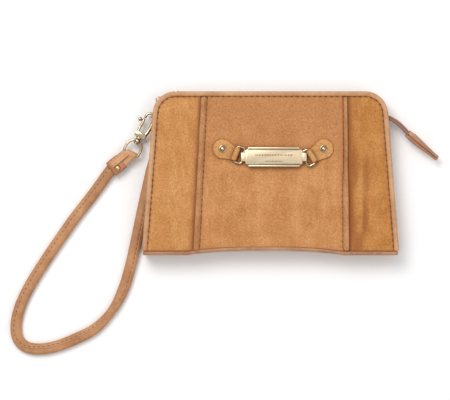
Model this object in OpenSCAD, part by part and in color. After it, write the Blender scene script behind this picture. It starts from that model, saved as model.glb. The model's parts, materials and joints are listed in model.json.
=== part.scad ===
// Zip-top wristlet wallet in suede and smooth leather, lying on its back.
// The origin is the centre of the back panel's outer face, which rests on the table.
// +X runs along the zip to the right, +Y from the bottom seam to the zip, +Z out of the front.

/* [Body] */
// Width of the panels at the bottom edge
bottom_w = 199; // [180:1:220]
// Width that the slanted sides would reach at the top edge
top_w = 180; // [165:1:195]
// Height of the panels from the bottom edge to the zip
body_h = 127; // [115:1:140]
// Radius of the two top corners
corner_r = 18; // [14:1:22]
// Depth over both faces at the bottom seam
bottom_depth = 24; // [22:1:28]
// Slope of the front towards the zip, in degrees
front_tilt = 3.2; // [2.6:0.1:3.6]

/* [Leather] */
// Thickness of the suede panels
suede_t = 1.6; // [1.4:0.1:1.8]
// Thickness of the stiffener boards
board_t = 0.8; // [0.6:0.1:0.9]
// Thickness of the lining
lining_t = 0.6; // [0.4:0.1:0.7]
// Width of the smooth leather edge around the front
edge_band_w = 4; // [3:0.5:5]
// Width of the raised pleat strips
pleat_w = 5; // [4:0.5:6]
// Height of the pleat strips above the suede
pleat_rise = 1.8; // [1:0.1:2.5]

/* [Zip] */
// Pitch of the zip teeth on one tape
tooth_pitch = 2.5; // [2.4:0.1:3]
// Length of one tooth along the zip
tooth_len = 1.05; // [0.8:0.05:1.1]

/* [Strap] */
// Width of the rolled strap
strap_w = 9; // [8:0.5:10]
// Thickness of the rolled strap
strap_t = 6; // [5:0.5:6]

/* [Hardware] */
// Wire radius of the small D-ring
d_wire_r = 0.8; // [0.7:0.05:0.85]
// Wire radius of the hook
hook_wire_r = 1.0; // [0.8:0.05:1.05]
// Width of the nameplate
plate_w = 44; // [40:1:46]
// Height of the nameplate
plate_h = 15.6; // [14:0.2:16]
// Distance between the two nameplate studs
stud_spacing = 78; // [76:1:80]

/* [Hidden] */
$fn = 48;

suede = "#CE945D";
smooth_leather = "#C9976F";
champagne = "#E3D3A8";
lining_cloth = "#8A6A50";
board_grey = "#B9B0A0";
tape_brown = "#96685A";

// Panel outline: y counts up from the bottom edge, and every inset is square to the edge.
side_slope = (bottom_w - top_w) / 2 / body_h;
side_angle = atan(side_slope);
corner_y = body_h - corner_r;
corner_x = bottom_w / 2 - side_slope * corner_y - corner_r / cos(side_angle);
function half_width(y) = bottom_w / 2 - side_slope * y;
function arc(cx, cy, r, from, to, steps) =
    [for (i = [0:steps]) let (a = from + (to - from) * i / steps) [cx + r * cos(a), cy + r * sin(a)]];
function outline(inset, y0) = concat(
    [[-half_width(y0) + inset / cos(side_angle), y0], [half_width(y0) - inset / cos(side_angle), y0]],
    arc(corner_x, corner_y, corner_r - inset, side_angle, 90, 10),
    arc(-corner_x, corner_y, corner_r - inset, 90, 180 - side_angle, 10)
);

// The back shell stands on the table; the front shell folds on the seam above the bottom gusset.
bottom_y = -body_h / 2;
seam_rise = 3;
hinge_y = bottom_y + seam_rise;
hinge_z = bottom_depth;
shell_t = suede_t + board_t + lining_t;
board_inset = 5.8;
lining_inset = 6.6;
clear = 0.1;
front_h = body_h - seam_rise;
function front_under_band(y) = hinge_z - suede_t - clear - (y - hinge_y) * tan(front_tilt);

// Pleat strips, centre line by height above the seam
pleat_x_bottom = [-57, 58];
pleat_x_top = [-51, 57];
panel_top = front_h - edge_band_w;
function pleat_x(side, y) =
    pleat_x_bottom[side] + (pleat_x_top[side] - pleat_x_bottom[side]) * y / panel_top;

// Zip: the tapes stand square to the edge
zip_inset = 4.5;
tape_t = 0.6;
tape_mid_y = body_h / 2 - zip_inset - tape_t / 2;
zip_mid_z = 8.5;
tooth_gap = 2.2;
tooth_reach = 2.8;
tooth_t = 2.2;
teeth_start_x = -64;
zip_straight = corner_x - teeth_start_x;
zip_corner_r = corner_r - zip_inset - tape_t / 2;
zip_run = zip_straight + zip_corner_r * (90 - side_angle) * PI / 180;
tooth_count = floor(zip_run / tooth_pitch);
slider_x = -69.5;
slider_len = 9;
pull_pivot = [slider_x - 3, tape_mid_y + 4.3, zip_mid_z + 1.7];
pull_len = 14.8;
pull_droop = 24;

// Side gussets fold inwards in a V
gusset_t = 1.2;
gusset_edge = 3.2;
gusset_fold = 13;
gusset_top_y = 45.4;

// Small D-ring at the left shoulder, its straight bar upright
d_bar = [-87.3, 43.5, 7.8];
d_half_h = 3.9;
d_depth = 5.9;
d_tab_h = 4.4;
d_tab_leg = 3.8;

// Hook frame: local +Y runs from the swivel to the nose
hook_at = [-102.8, 26, 7.1];
hook_angle = -28.3;
hook_half_w = 3.2;
nose_y = 19.5;
gate_pivot_y = 4.6;
gate_len = 11.8;
eye_bar_y = -12.5;
eye_half_w = 6;
eye_arc_y = -7.2;
eye_wire_r = 1.1;
swivel_bore_r = 1.25;

// Keeper frame: local +X runs from the eye's bar along the strap
keeper_at = [
    hook_at[0] - eye_bar_y * sin(hook_angle),
    hook_at[1] + eye_bar_y * cos(hook_angle),
    0
];
keeper_angle = 219;
keeper_end = 16;
keeper_w = 11;
keeper_z = 4.6;
keeper_h = 6.4;
rivet_at = [14.6, 2.6];

// Route of the strap's centre line, from the gusset round to the keeper
strap_route = [
    [-88.4, 27, 9], [-89.4, 13, 9], [-93, -1, 8.2], [-99.5, -30, 7], [-104.8, -55, 5.2],
    [-109.2, -74, 3.4], [-114.5, -91, 3.1], [-123, -107, 3.1], [-136, -121, 3.1], [-152, -129.5, 3.1],
    [-168, -135.5, 3.1], [-182, -137.3, 3.1], [-192, -134.5, 3.1], [-197.3, -127, 3.1], [-197.8, -115.5, 3.1],
    [-193.5, -100.5, 3.1], [-184.5, -83, 3.1], [-170, -60.5, 3.1], [-153.7, -37, 3.1], [-139.5, -18.5, 3.1],
    [-130.5, -6.2, 3.5], [-124.6, 1.9, 4.3], [-121.1, 5, 4.6]
];
rings_per_leg = 3;
strap_sides = 12;

// Nameplate frame: heights above the seam, on the face of the front
plate_x = 2.5;
plate_y = 72.5;
plate_t = 1.4;
plate_z = 3.6;
stud_x = [2 - stud_spacing / 2, 2 + stud_spacing / 2];
stud_y = 79;
tab_droop = [-22, 212];
tab_len = 10.8;
tab_t = 1.8;
link_z = 2.7;
link_wire_r = 0.8;
link_half_h = 6.2;
link_reach = 6;
link_turn = [6, -7];
stud_hole_r = 1.05;

module front_frame() {
    translate([0, hinge_y, hinge_z]) rotate([-front_tilt, 0, 0]) children();
}

module front_sheet(z, thickness) {
    front_frame() translate([0, 0, z]) linear_extrude(thickness) children();
}

module front_outline(inset) {
    translate([0, -seam_rise]) polygon(outline(inset, seam_rise));
}

module back_sheet(z, thickness, inset) {
    translate([0, bottom_y, z]) linear_extrude(thickness) polygon(outline(inset, inset));
}

// Back shell

module back_panel() {
    color(suede) back_sheet(0, suede_t, 0);
}

module back_board() {
    color(board_grey) back_sheet(suede_t, board_t, board_inset);
}

module back_lining() {
    color(lining_cloth) back_sheet(suede_t + board_t, lining_t, lining_inset);
}

module card_pocket(layer, height) {
    pocket_w = 96;
    pocket_bottom = -52;
    color(lining_cloth)
        translate([-pocket_w / 2, pocket_bottom, shell_t + layer * lining_t])
            cube([pocket_w, height, lining_t]);
}

module card_pocket_rear() {
    card_pocket(0, 78);
}

module card_pocket_middle() {
    card_pocket(1, 64);
}

module card_pocket_front() {
    card_pocket(2, 50);
}

module bottom_gusset() {
    lip_r = 2.9;
    wall = 1.4;
    lip_y = hinge_y - 0.1;
    lip_z = hinge_z - 0.5 - lip_r;
    end_inset = 0.6;
    profile = concat(
        [[lip_y - lip_r, suede_t]],
        arc(lip_y, lip_z, lip_r, 180, 96, 8),
        arc(lip_y, lip_z, lip_r - wall, 96, 180, 8),
        [[lip_y - lip_r + wall, suede_t]]
    );
    length = bottom_w - 2 * end_inset;
    color(smooth_leather)
        translate([-length / 2, 0, 0])
            rotate([90, 0, 90]) linear_extrude(length) polygon(profile);
}

// One row of the V gusset at height y, outer skin then inner skin
function gusset_row(y) =
    let (
        edge_x = half_width(y - bottom_y) - gusset_edge,
        fold_x = half_width(y - bottom_y) - gusset_fold,
        low = suede_t + clear,
        high = front_under_band(y)
    )
    [
        [edge_x, y, low], [fold_x, y, (low + high) / 2], [edge_x, y, high],
        [edge_x - gusset_t, y, high], [fold_x - gusset_t, y, (low + high) / 2], [edge_x - gusset_t, y, low]
    ];

module side_gusset() {
    points = concat(gusset_row(bottom_y + 3.3), gusset_row(gusset_top_y));
    sides = [for (i = [0:5]) let (j = (i + 1) % 6) [i, j, j + 6, i + 6]];
    ends = [[4, 1, 0, 5], [3, 2, 1, 4], [11, 6, 7, 10], [10, 7, 8, 9]];
    color(smooth_leather) polyhedron(points, concat(sides, ends));
}

module gusset_right() {
    side_gusset();
}

module gusset_left() {
    mirror([1, 0, 0]) side_gusset();
}

// Zip

module zip_tape(z0, z1) {
    color(tape_brown)
        translate([0, bottom_y, z0]) linear_extrude(z1 - z0) intersection() {
            difference() {
                polygon(outline(zip_inset, 0));
                polygon(outline(zip_inset + tape_t, -1));
            }
            translate([-bottom_w, corner_y + 0.8]) square([2 * bottom_w, body_h]);
        }
}

module zip_tape_back() {
    zip_tape(suede_t + clear, zip_mid_z - tooth_gap);
}

module zip_tape_front() {
    zip_tape(zip_mid_z + tooth_gap, front_under_band(tape_mid_y + 1) - 0.1);
}

// Places a tooth at distance s along the zip: straight first, then round the right corner
module along_zip(s) {
    if (s <= zip_straight)
        translate([teeth_start_x + s, tape_mid_y, 0]) children();
    else
        translate([corner_x, corner_y + bottom_y, 0])
            rotate([0, 0, -(s - zip_straight) / zip_corner_r * 180 / PI])
                translate([0, zip_corner_r, 0]) children();
}

module teeth(offset, z0) {
    color(champagne)
        for (i = [0:tooth_count - 1])
            along_zip(i * tooth_pitch + offset)
                translate([-tooth_len / 2, -tooth_t / 2, z0]) cube([tooth_len, tooth_t, tooth_reach]);
}

module zip_teeth_back() {
    teeth(0.6, zip_mid_z - tooth_gap);
}

module zip_teeth_front() {
    teeth(0.6 + tooth_pitch / 2, zip_mid_z + tooth_gap - tooth_reach);
}

// Top stops at the parked end and the box that ends the chain at the right
module zip_stops() {
    color(champagne) {
        translate([-corner_x, corner_y + bottom_y, 0]) rotate([0, 0, 16])
            translate([-1.1, zip_corner_r - 1.1, zip_mid_z - tooth_gap - 1.6]) cube([2.2, 0.7, 1.8]);
        along_zip(zip_run - 0.2)
            translate([-0.4, 0.7, zip_mid_z - 1.8]) cube([1.6, 0.7, 3.6]);
    }
}

// Flat tape end that leaves the right shoulder in one easy curve
function tail_point(t) =
    let (a = [86.5, 43], b = [97, 41.5], c = [107, 31])
    a * (1 - t) * (1 - t) + b * 2 * t * (1 - t) + c * t * t;
function tail_side(t) =
    let (d = tail_point(t + 0.01) - tail_point(t - 0.01))
    [-d[1], d[0]] / norm(d);

module zip_tail_tape() {
    half_t = 1.5;
    steps = 10;
    left = [for (i = [0:steps]) tail_point(i / steps) + half_t * tail_side(i / steps)];
    right = [for (i = [steps:-1:0]) tail_point(i / steps) - half_t * tail_side(i / steps)];
    color(tape_brown) translate([0, 0, 4.5]) linear_extrude(8) polygon(concat(left, right));
}

module zip_tail_tab() {
    color(smooth_leather)
        translate([107.2, 30.8, 3.5]) rotate([0, 0, -41]) linear_extrude(10) {
            polygon([[0, -2.6], [6, -3.6], [29, -2.2], [29, 2.2], [6, 3.6], [0, 2.6]]);
            translate([29, 0]) circle(r = 2.2);
        }
}

// D-ring and its tab at the left shoulder

module d_ring_tab() {
    loop_in = d_wire_r + 0.1;
    loop_out = loop_in + 0.8;
    color(smooth_leather)
        translate([d_bar[0], d_bar[1], d_bar[2] - d_tab_h / 2]) linear_extrude(d_tab_h) difference() {
            union() {
                circle(r = loop_out);
                translate([0, -loop_out]) square([d_tab_leg, 2 * loop_out]);
            }
            circle(r = loop_in);
        }
}

module d_ring() {
    straight = d_depth - d_half_h;
    color(champagne) translate(d_bar) {
        translate([0, 0, -d_half_h]) cylinder(r = d_wire_r, h = 2 * d_half_h);
        for (z = [-d_half_h, d_half_h]) translate([0, 0, z]) {
            sphere(r = d_wire_r);
            rotate([0, -90, 0]) cylinder(r = d_wire_r, h = straight);
        }
        translate([-straight, 0, 0]) rotate([90, -90, 0])
            rotate_extrude(angle = 180) translate([d_half_h, 0]) circle(r = d_wire_r);
    }
}

// Strap

module strap_anchor() {
    color(smooth_leather)
        translate([strap_route[0][0] - strap_w / 2, strap_route[0][1], strap_route[0][2] - strap_t / 2])
            cube([strap_w - 0.6, 4, strap_t]);
}

function route_at(i) = strap_route[max(0, min(len(strap_route) - 1, i))];
function curve_point(a, b, c, d, t) =
    0.5 * (2 * b + (c - a) * t + (2 * a - 5 * b + 4 * c - d) * t * t + (3 * b - a - 3 * c + d) * t * t * t);
function strap_point(k) =
    let (i = min(floor(k), len(strap_route) - 2))
    curve_point(route_at(i - 1), route_at(i), route_at(i + 1), route_at(i + 2), k - i);
function strap_ring(k) =
    let (
        last = len(strap_route) - 1,
        d = strap_point(min(k + 0.05, last)) - strap_point(max(k - 0.05, 0)),
        flat = norm([d[0], d[1]]),
        side = [-d[1], d[0], 0] / flat,
        centre = strap_point(k)
    )
    [for (s = [0:strap_sides - 1]) let (a = 360 * s / strap_sides)
        centre + side * strap_w / 2 * cos(a) + [0, 0, strap_t / 2 * sin(a)]];

module strap() {
    ring_count = (len(strap_route) - 1) * rings_per_leg + 1;
    points = [for (r = [0:ring_count - 1]) each strap_ring(r / rings_per_leg)];
    walls = [for (r = [0:ring_count - 2], s = [0:strap_sides - 1])
        let (n = (s + 1) % strap_sides, a = r * strap_sides, b = a + strap_sides)
        [a + s, b + s, b + n, a + n]];
    start_cap = [for (s = [0:strap_sides - 1]) s];
    end_cap = [for (s = [strap_sides - 1:-1:0]) (ring_count - 1) * strap_sides + s];
    color(smooth_leather) polyhedron(points, concat(walls, [start_cap, end_cap]));
}

module keeper_frame() {
    translate(keeper_at) rotate([0, 0, keeper_angle]) children();
}

module hook_frame() {
    translate(hook_at) rotate([0, 0, hook_angle]) children();
}

module along_x(r, length) {
    translate([-length / 2, 0, 0]) rotate([0, 90, 0]) cylinder(r = r, h = length);
}

module strap_keeper() {
    sleeve_len = 9.6;
    neck_w = 8.4;
    color(smooth_leather) difference() {
        union() {
            keeper_frame() translate([2, -neck_w / 2, keeper_z - keeper_h / 2])
                cube([4, neck_w, keeper_h]);
            keeper_frame() translate([5, -keeper_w / 2, keeper_z - keeper_h / 2])
                cube([keeper_end - 5.1, keeper_w, keeper_h]);
            hook_frame() translate([0, eye_bar_y, 0]) along_x(3, sleeve_len);
        }
        hook_frame() translate([0, eye_bar_y, 0]) along_x(eye_wire_r + 0.4, 2 * sleeve_len);
        keeper_frame() translate([rivet_at[0], rivet_at[1], 2]) cylinder(r = stud_hole_r, h = 10);
    }
}

module strap_wrap() {
    wrap_from = 8.5;
    wrap_len = 11.5;
    wall = 1;
    gap = 0.1;
    color(smooth_leather) keeper_frame() difference() {
        translate([wrap_from, -keeper_w / 2 - wall - gap, keeper_z - keeper_h / 2 - wall - gap])
            cube([wrap_len, keeper_w + 2 * (wall + gap), keeper_h + 2 * (wall + gap)]);
        translate([wrap_from - 1, -keeper_w / 2 - gap, keeper_z - keeper_h / 2 - gap])
            cube([wrap_len + 2, keeper_w + 2 * gap, keeper_h + 2 * gap]);
        translate([rivet_at[0], rivet_at[1], keeper_z]) cylinder(r = stud_hole_r, h = 10);
    }
}

module stud(cap_r, cap_h, post_len) {
    rotate_extrude() polygon(concat(
        [[0, -post_len], [1, -post_len], [1, 0], [cap_r, 0]],
        [for (a = [15:15:90]) [cap_r * cos(a), 0.3 + (cap_h - 0.3) * sin(a)]]
    ));
}

module strap_rivet() {
    color(champagne) keeper_frame()
        translate([rivet_at[0], rivet_at[1], keeper_z + keeper_h / 2 + 1.1]) stud(2.3, 1.7, 4);
}

// Front shell

module front_edge_band() {
    color(smooth_leather) front_sheet(-suede_t, suede_t) difference() {
        front_outline(0);
        translate([0, -seam_rise]) polygon(outline(edge_band_w, 0));
    }
}

module front_panel_centre() {
    half = pleat_w / 2;
    color(suede) difference() {
        front_sheet(-suede_t, suede_t) polygon([
            [pleat_x(0, 0) + half, 0], [pleat_x(1, 0) - half, 0],
            [pleat_x(1, panel_top) - half, panel_top], [pleat_x(0, panel_top) + half, panel_top]
        ]);
        stud_holes(stud_hole_r, -3, 4);
    }
}

module front_side_panel(side) {
    dir = side == 0 ? -1 : 1;
    edge = dir * pleat_w / 2;
    far = dir * bottom_w;
    color(suede) front_sheet(-suede_t, suede_t) intersection() {
        translate([0, -seam_rise]) polygon(outline(edge_band_w, seam_rise));
        polygon([
            [pleat_x(side, -1) + edge, -1], [far, -1],
            [far, panel_top], [pleat_x(side, panel_top) + edge, panel_top]
        ]);
    }
}

module front_panel_left() {
    front_side_panel(0);
}

module front_panel_right() {
    front_side_panel(1);
}

module pleat(side) {
    half = pleat_w / 2;
    color(suede) front_sheet(-suede_t, suede_t + pleat_rise) polygon([
        [pleat_x(side, 0) - half, 0], [pleat_x(side, 0) + half, 0],
        [pleat_x(side, panel_top) + half, panel_top], [pleat_x(side, panel_top) - half, panel_top]
    ]);
}

module pleat_left() {
    pleat(0);
}

module pleat_right() {
    pleat(1);
}

module front_board() {
    color(board_grey) difference() {
        front_sheet(-suede_t - board_t, board_t)
            translate([0, -seam_rise]) polygon(outline(board_inset, seam_rise + 0.5));
        stud_holes(3.1, -3, 2);
    }
}

module front_lining() {
    color(lining_cloth) front_sheet(-shell_t, lining_t)
        translate([0, -seam_rise]) polygon(outline(lining_inset, seam_rise + 0.5));
}

// Nameplate, its wire links, leather tabs and studs

module at_studs() {
    front_frame() for (x = stud_x) translate([x, stud_y, 0]) children();
}

module stud_holes(r, z, h) {
    at_studs() translate([0, 0, z]) cylinder(r = r, h = h);
}

module nameplate_tab(side) {
    end_half = 3.4;
    round_r = 7.7;
    sleeve_r = 2.6;
    color(suede) front_frame() translate([stud_x[side], stud_y, 0]) rotate([0, 0, tab_droop[side]])
        difference() {
            union() {
                linear_extrude(tab_t) {
                    circle(r = round_r);
                    polygon([[0, -round_r], [tab_len, -end_half], [tab_len, end_half], [0, round_r]]);
                }
                translate([tab_len, 0, link_z]) rotate([90, 0, 0])
                    cylinder(r = sleeve_r, h = 2 * end_half, center = true);
            }
            translate([tab_len, 0, link_z]) rotate([90, 0, 0])
                cylinder(r = link_wire_r + 0.85, h = 4 * end_half, center = true);
            translate([0, 0, -1]) cylinder(r = stud_hole_r, h = tab_t + 2);
        }
}

module nameplate_tab_left() {
    nameplate_tab(0);
}

module nameplate_tab_right() {
    nameplate_tab(1);
}

module nameplate_studs() {
    color(champagne) at_studs() translate([0, 0, tab_t]) stud(2.9, 2.2, tab_t + suede_t + board_t);
}

module stud_washers() {
    color(champagne) at_studs() translate([0, 0, -suede_t - board_t]) difference() {
        cylinder(r = 3, h = board_t);
        translate([0, 0, -1]) cylinder(r = stud_hole_r, h = board_t + 2);
    }
}

// Rounded rectangle of wire; its outer bar lies in the tab's sleeve
module wire_rectangle(width, half_h, r, bend) {
    for (x = [0, width])
        translate([x, 0, 0]) rotate([90, 0, 0]) cylinder(r = r, h = 2 * (half_h - bend), center = true);
    for (y = [-half_h, half_h])
        translate([bend, y, 0]) rotate([0, 90, 0]) cylinder(r = r, h = width - 2 * bend);
    corners = [
        [width - bend, half_h - bend], [bend, half_h - bend],
        [bend, bend - half_h], [width - bend, bend - half_h]
    ];
    for (i = [0:3])
        translate([corners[i][0], corners[i][1], 0]) rotate([0, 0, 90 * i])
            rotate_extrude(angle = 90) translate([bend, 0]) circle(r = r);
}

module nameplate_link(side) {
    color(champagne) front_frame()
        translate([stud_x[side], stud_y, link_z]) rotate([0, 0, tab_droop[side] + link_turn[side]])
            translate([tab_len * cos(link_turn[side]), -tab_len * sin(link_turn[side]), 0])
                wire_rectangle(link_reach, link_half_h, link_wire_r, 1.6);
}

module nameplate_link_left() {
    nameplate_link(0);
}

module nameplate_link_right() {
    nameplate_link(1);
}

module nameplate() {
    scoop_r = 2.2;
    tongue_h = 6;
    tongue_w = 3.2;
    color(champagne) front_frame() translate([plate_x, plate_y, plate_z]) linear_extrude(plate_t) {
        difference() {
            square([plate_w, plate_h], center = true);
            for (x = [-1, 1], y = [-1, 1])
                translate([x * plate_w / 2, y * plate_h / 2]) circle(r = scoop_r);
        }
        square([plate_w + 2 * tongue_w, tongue_h], center = true);
    }
}

// Zip slider and pull

module zip_slider() {
    half_w = 4.2;
    plate = 1;
    top_y = tape_mid_y + 1.6;
    low_y = tape_mid_y - 1.6 - plate;
    cheek_t = 1;
    eye_half = 1.1;
    x0 = slider_x - slider_len / 2;
    color(champagne) {
        translate([x0, top_y, zip_mid_z - half_w]) cube([slider_len, plate, 2 * half_w]);
        translate([x0, low_y, zip_mid_z - half_w]) cube([slider_len, plate, 2 * half_w]);
        translate([x0, low_y, zip_mid_z - 0.8]) cube([1.8, top_y - low_y + plate, 1.6]);
        for (z = [pull_pivot[2] - eye_half - cheek_t, pull_pivot[2] + eye_half])
            difference() {
                translate([pull_pivot[0] - 1.4, top_y, z]) cube([2.8, pull_pivot[1] - top_y + 1.4, cheek_t]);
                translate([pull_pivot[0], pull_pivot[1], z - 1]) cylinder(r = 0.72, h = cheek_t + 2);
            }
    }
}

module zip_pull_pin() {
    color(champagne) translate(pull_pivot) cylinder(r = 0.68, h = 4.6, center = true);
}

module zip_pull() {
    half_t = 0.9;
    loop_r = 2.4;
    color(champagne) translate(pull_pivot - [0, 0, half_t])
        rotate([0, 0, 180 + pull_droop]) difference() {
            union() {
                cylinder(r = 1.5, h = 2 * half_t);
                translate([0, -0.6, 0]) cube([pull_len - loop_r + 0.5, 1.2, 2 * half_t]);
                translate([pull_len, 0, 0]) cylinder(r = loop_r, h = 2 * half_t);
            }
            translate([0, 0, -1]) cylinder(r = 0.76, h = 4);
            translate([pull_len, 0, -1]) cylinder(r = loop_r - 0.9, h = 4);
        }
}

// Swivel hook

module along_y(r, from, to) {
    translate([0, from, 0]) rotate([-90, 0, 0]) cylinder(r = r, h = to - from);
}

module rounded_rod(r, from, to) {
    rotate([-90, 0, 0]) rotate_extrude()
        polygon(concat([[0, from], [r, from]], arc(0, to - r, r, 0, 90, 6)));
}

module hook_eye() {
    side_len = eye_arc_y - eye_bar_y;
    color(champagne) hook_frame() difference() {
        union() {
            translate([0, eye_bar_y, 0]) along_x(eye_wire_r, 2 * eye_half_w);
            for (x = [-eye_half_w, eye_half_w]) translate([x, 0, 0]) {
                translate([0, eye_bar_y, 0]) sphere(r = eye_wire_r);
                along_y(eye_wire_r, eye_bar_y, eye_bar_y + side_len);
            }
            translate([0, eye_arc_y, 0])
                rotate_extrude(angle = 180) translate([eye_half_w, 0]) circle(r = eye_wire_r);
            along_y(2.6, -2.7, 0.3);
        }
        along_y(swivel_bore_r, -4, 2);
    }
}

module hook_body() {
    color(champagne) hook_frame() {
        along_y(swivel_bore_r - 0.06, -3.2, 1);
        along_y(2, -3.7, -2.8);
        along_y(2.4, 0.4, 2.2);
        difference() {
            translate([-hook_half_w - 1.3, 1.6, -2.2]) cube([2 * hook_half_w + 2.3, 4.4, 4.4]);
            translate([-hook_half_w - 2, 2.6, -1.3]) cube([hook_half_w + 3.4, 5, 2.6]);
            translate([-hook_half_w, gate_pivot_y, -4]) cylinder(r = 0.62, h = 8);
        }
        translate([hook_half_w, 0, 0]) along_y(hook_wire_r, 5, nose_y);
        translate([0, nose_y, 0])
            rotate_extrude(angle = 180) translate([hook_half_w, 0]) circle(r = hook_wire_r);
        translate([-hook_half_w, 0, 0]) {
            along_y(hook_wire_r, gate_pivot_y + gate_len + 1.5, nose_y);
            translate([0, gate_pivot_y + gate_len + 1.5, 0]) sphere(r = hook_wire_r);
        }
    }
}

module gate_pin() {
    color(champagne) hook_frame() translate([-hook_half_w, gate_pivot_y, -2.2]) cylinder(r = 0.6, h = 4.4);
}

module gate_spring() {
    color("silver") hook_frame() translate([-hook_half_w, gate_pivot_y, 0.55]) difference() {
        cylinder(r = 1.15, h = 0.6);
        translate([0, 0, -1]) cylinder(r = 0.7, h = 3);
    }
}

module hook_gate() {
    knob_y = gate_len - 1.4;
    knob_r = 1.4;
    knob_out = 2.8;
    stem_r = 0.6;
    stem_end = acos(stem_r / knob_r);
    color(champagne) hook_frame() translate([-hook_half_w, gate_pivot_y, 0]) difference() {
        union() {
            translate([0, 0, -1.15]) cylinder(r = 1.2, h = 1.6);
            translate([-0.7, 0.6, -0.9]) cube([1.4, 1.2, 1.3]);
            rounded_rod(0.9, 1.7, gate_len);
            translate([0, knob_y, 0]) rotate([0, -90, 0]) rotate_extrude()
                polygon(concat([[0, 0], [stem_r, 0]], arc(0, knob_out, knob_r, -stem_end, 90, 10)));
        }
        translate([0, 0, -2]) cylinder(r = 0.66, h = 4);
    }
}

back_panel();
back_board();
back_lining();
card_pocket_rear();
card_pocket_middle();
card_pocket_front();
bottom_gusset();
gusset_left();
gusset_right();
zip_tape_back();
zip_teeth_back();
zip_stops();
zip_tail_tape();
zip_tail_tab();
d_ring_tab();
strap_anchor();
strap();
strap_keeper();
strap_wrap();
strap_rivet();
front_edge_band();
front_panel_centre();
front_panel_left();
front_panel_right();
pleat_left();
pleat_right();
front_board();
front_lining();
zip_tape_front();
zip_teeth_front();
nameplate_tab_left();
nameplate_tab_right();
nameplate_studs();
stud_washers();
zip_slider();
zip_pull_pin();
zip_pull();
nameplate();
nameplate_link_left();
nameplate_link_right();
d_ring();
hook_eye();
hook_body();
gate_pin();
gate_spring();
hook_gate();
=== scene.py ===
import json
from math import atan, cos, exp, pi, radians, sin, tan
import bmesh
import bpy
from mathutils import Matrix, Vector, noise


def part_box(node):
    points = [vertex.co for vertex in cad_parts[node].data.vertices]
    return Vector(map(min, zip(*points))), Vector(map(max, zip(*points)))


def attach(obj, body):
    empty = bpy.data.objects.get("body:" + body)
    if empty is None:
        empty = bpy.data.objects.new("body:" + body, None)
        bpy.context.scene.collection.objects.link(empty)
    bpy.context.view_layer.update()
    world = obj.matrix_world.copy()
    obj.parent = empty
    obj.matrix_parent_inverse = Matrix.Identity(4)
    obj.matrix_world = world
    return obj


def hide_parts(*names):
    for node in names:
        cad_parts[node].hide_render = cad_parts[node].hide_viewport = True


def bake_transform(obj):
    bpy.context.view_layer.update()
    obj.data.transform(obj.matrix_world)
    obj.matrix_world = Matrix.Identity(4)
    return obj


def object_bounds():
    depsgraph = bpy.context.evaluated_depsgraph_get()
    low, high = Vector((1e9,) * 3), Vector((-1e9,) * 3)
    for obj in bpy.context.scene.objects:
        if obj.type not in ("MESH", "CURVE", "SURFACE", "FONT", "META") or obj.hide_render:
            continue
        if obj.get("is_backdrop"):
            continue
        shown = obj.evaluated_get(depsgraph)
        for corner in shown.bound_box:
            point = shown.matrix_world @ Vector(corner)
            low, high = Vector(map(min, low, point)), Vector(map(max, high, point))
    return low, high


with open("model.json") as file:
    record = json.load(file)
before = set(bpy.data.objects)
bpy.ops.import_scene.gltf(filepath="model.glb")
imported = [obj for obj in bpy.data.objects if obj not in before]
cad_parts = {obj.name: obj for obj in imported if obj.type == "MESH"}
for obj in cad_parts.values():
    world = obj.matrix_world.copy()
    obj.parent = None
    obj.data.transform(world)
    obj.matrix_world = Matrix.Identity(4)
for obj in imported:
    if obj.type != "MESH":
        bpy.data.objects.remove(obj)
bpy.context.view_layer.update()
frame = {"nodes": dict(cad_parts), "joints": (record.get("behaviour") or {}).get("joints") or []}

# ---------------------------------------------------------------------------------------------
# Camera: straight above the wallet, which lies on its back, with the zip towards the top. A long
# lens from far off keeps the outlines almost parallel.
camera_data = bpy.data.cameras.new("camera")
camera_data.lens = 165.8
camera_data.sensor_width = 36
camera = bpy.data.objects.new("camera", camera_data)
camera.location = (-0.0351, -0.0210, 1.62)
bpy.context.scene.collection.objects.link(camera)
bpy.context.scene.camera = camera

# ---------------------------------------------------------------------------------------------
# Wrist strap: one strip of smooth leather, folded over itself and closed by a single row of
# stitches. It leaves the left gusset, loops round on the table and ends inside the keeper.
MM = 0.001
UP = Vector((0, 0, 1))
strap_route = [
    (-0.0884, 0.0270, 0.0090), (-0.0894, 0.0130, 0.0090), (-0.0930, -0.0010, 0.0082),
    (-0.0995, -0.0300, 0.0070), (-0.1048, -0.0550, 0.0052), (-0.1092, -0.0740, 0.0034),
    (-0.1145, -0.0910, 0.0031), (-0.1230, -0.1070, 0.0031), (-0.1360, -0.1210, 0.0031),
    (-0.1520, -0.1295, 0.0031), (-0.1680, -0.1355, 0.0031), (-0.1820, -0.1373, 0.0031),
    (-0.1920, -0.1345, 0.0031), (-0.1973, -0.1270, 0.0031), (-0.1978, -0.1155, 0.0031),
    (-0.1935, -0.1005, 0.0031), (-0.1845, -0.0830, 0.0031), (-0.1700, -0.0605, 0.0031),
    (-0.1537, -0.0370, 0.0031), (-0.1395, -0.0185, 0.0031), (-0.1305, -0.0062, 0.0035),
    (-0.1246, 0.0019, 0.0043), (-0.1211, 0.0050, 0.0046),
]
strap_half_w = 4.5
strap_half_t = 2.8
strap_steps = 12
belly = 0.85
wrinkle_pitch = 0.0055
twist_at = 0.315
bend_at = 0.535
stitch_outer = 1.5
stitch_inner = -1.9


def smooth_route(points, steps):
    """A smooth curve through the points, with that many short legs from each to the next."""
    points = [Vector(p) for p in points]
    route = []
    for i in range(len(points) - 1):
        a, b, c, d = (points[max(0, min(len(points) - 1, j))] for j in (i - 1, i, i + 1, i + 2))
        for k in range(steps):
            t = k / steps
            route.append(0.5 * (2 * b + (c - a) * t + (2 * a - 5 * b + 4 * c - d) * t ** 2
                                + (3 * b - a - 3 * c + d) * t ** 3))
    return route + [points[-1]]


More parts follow.
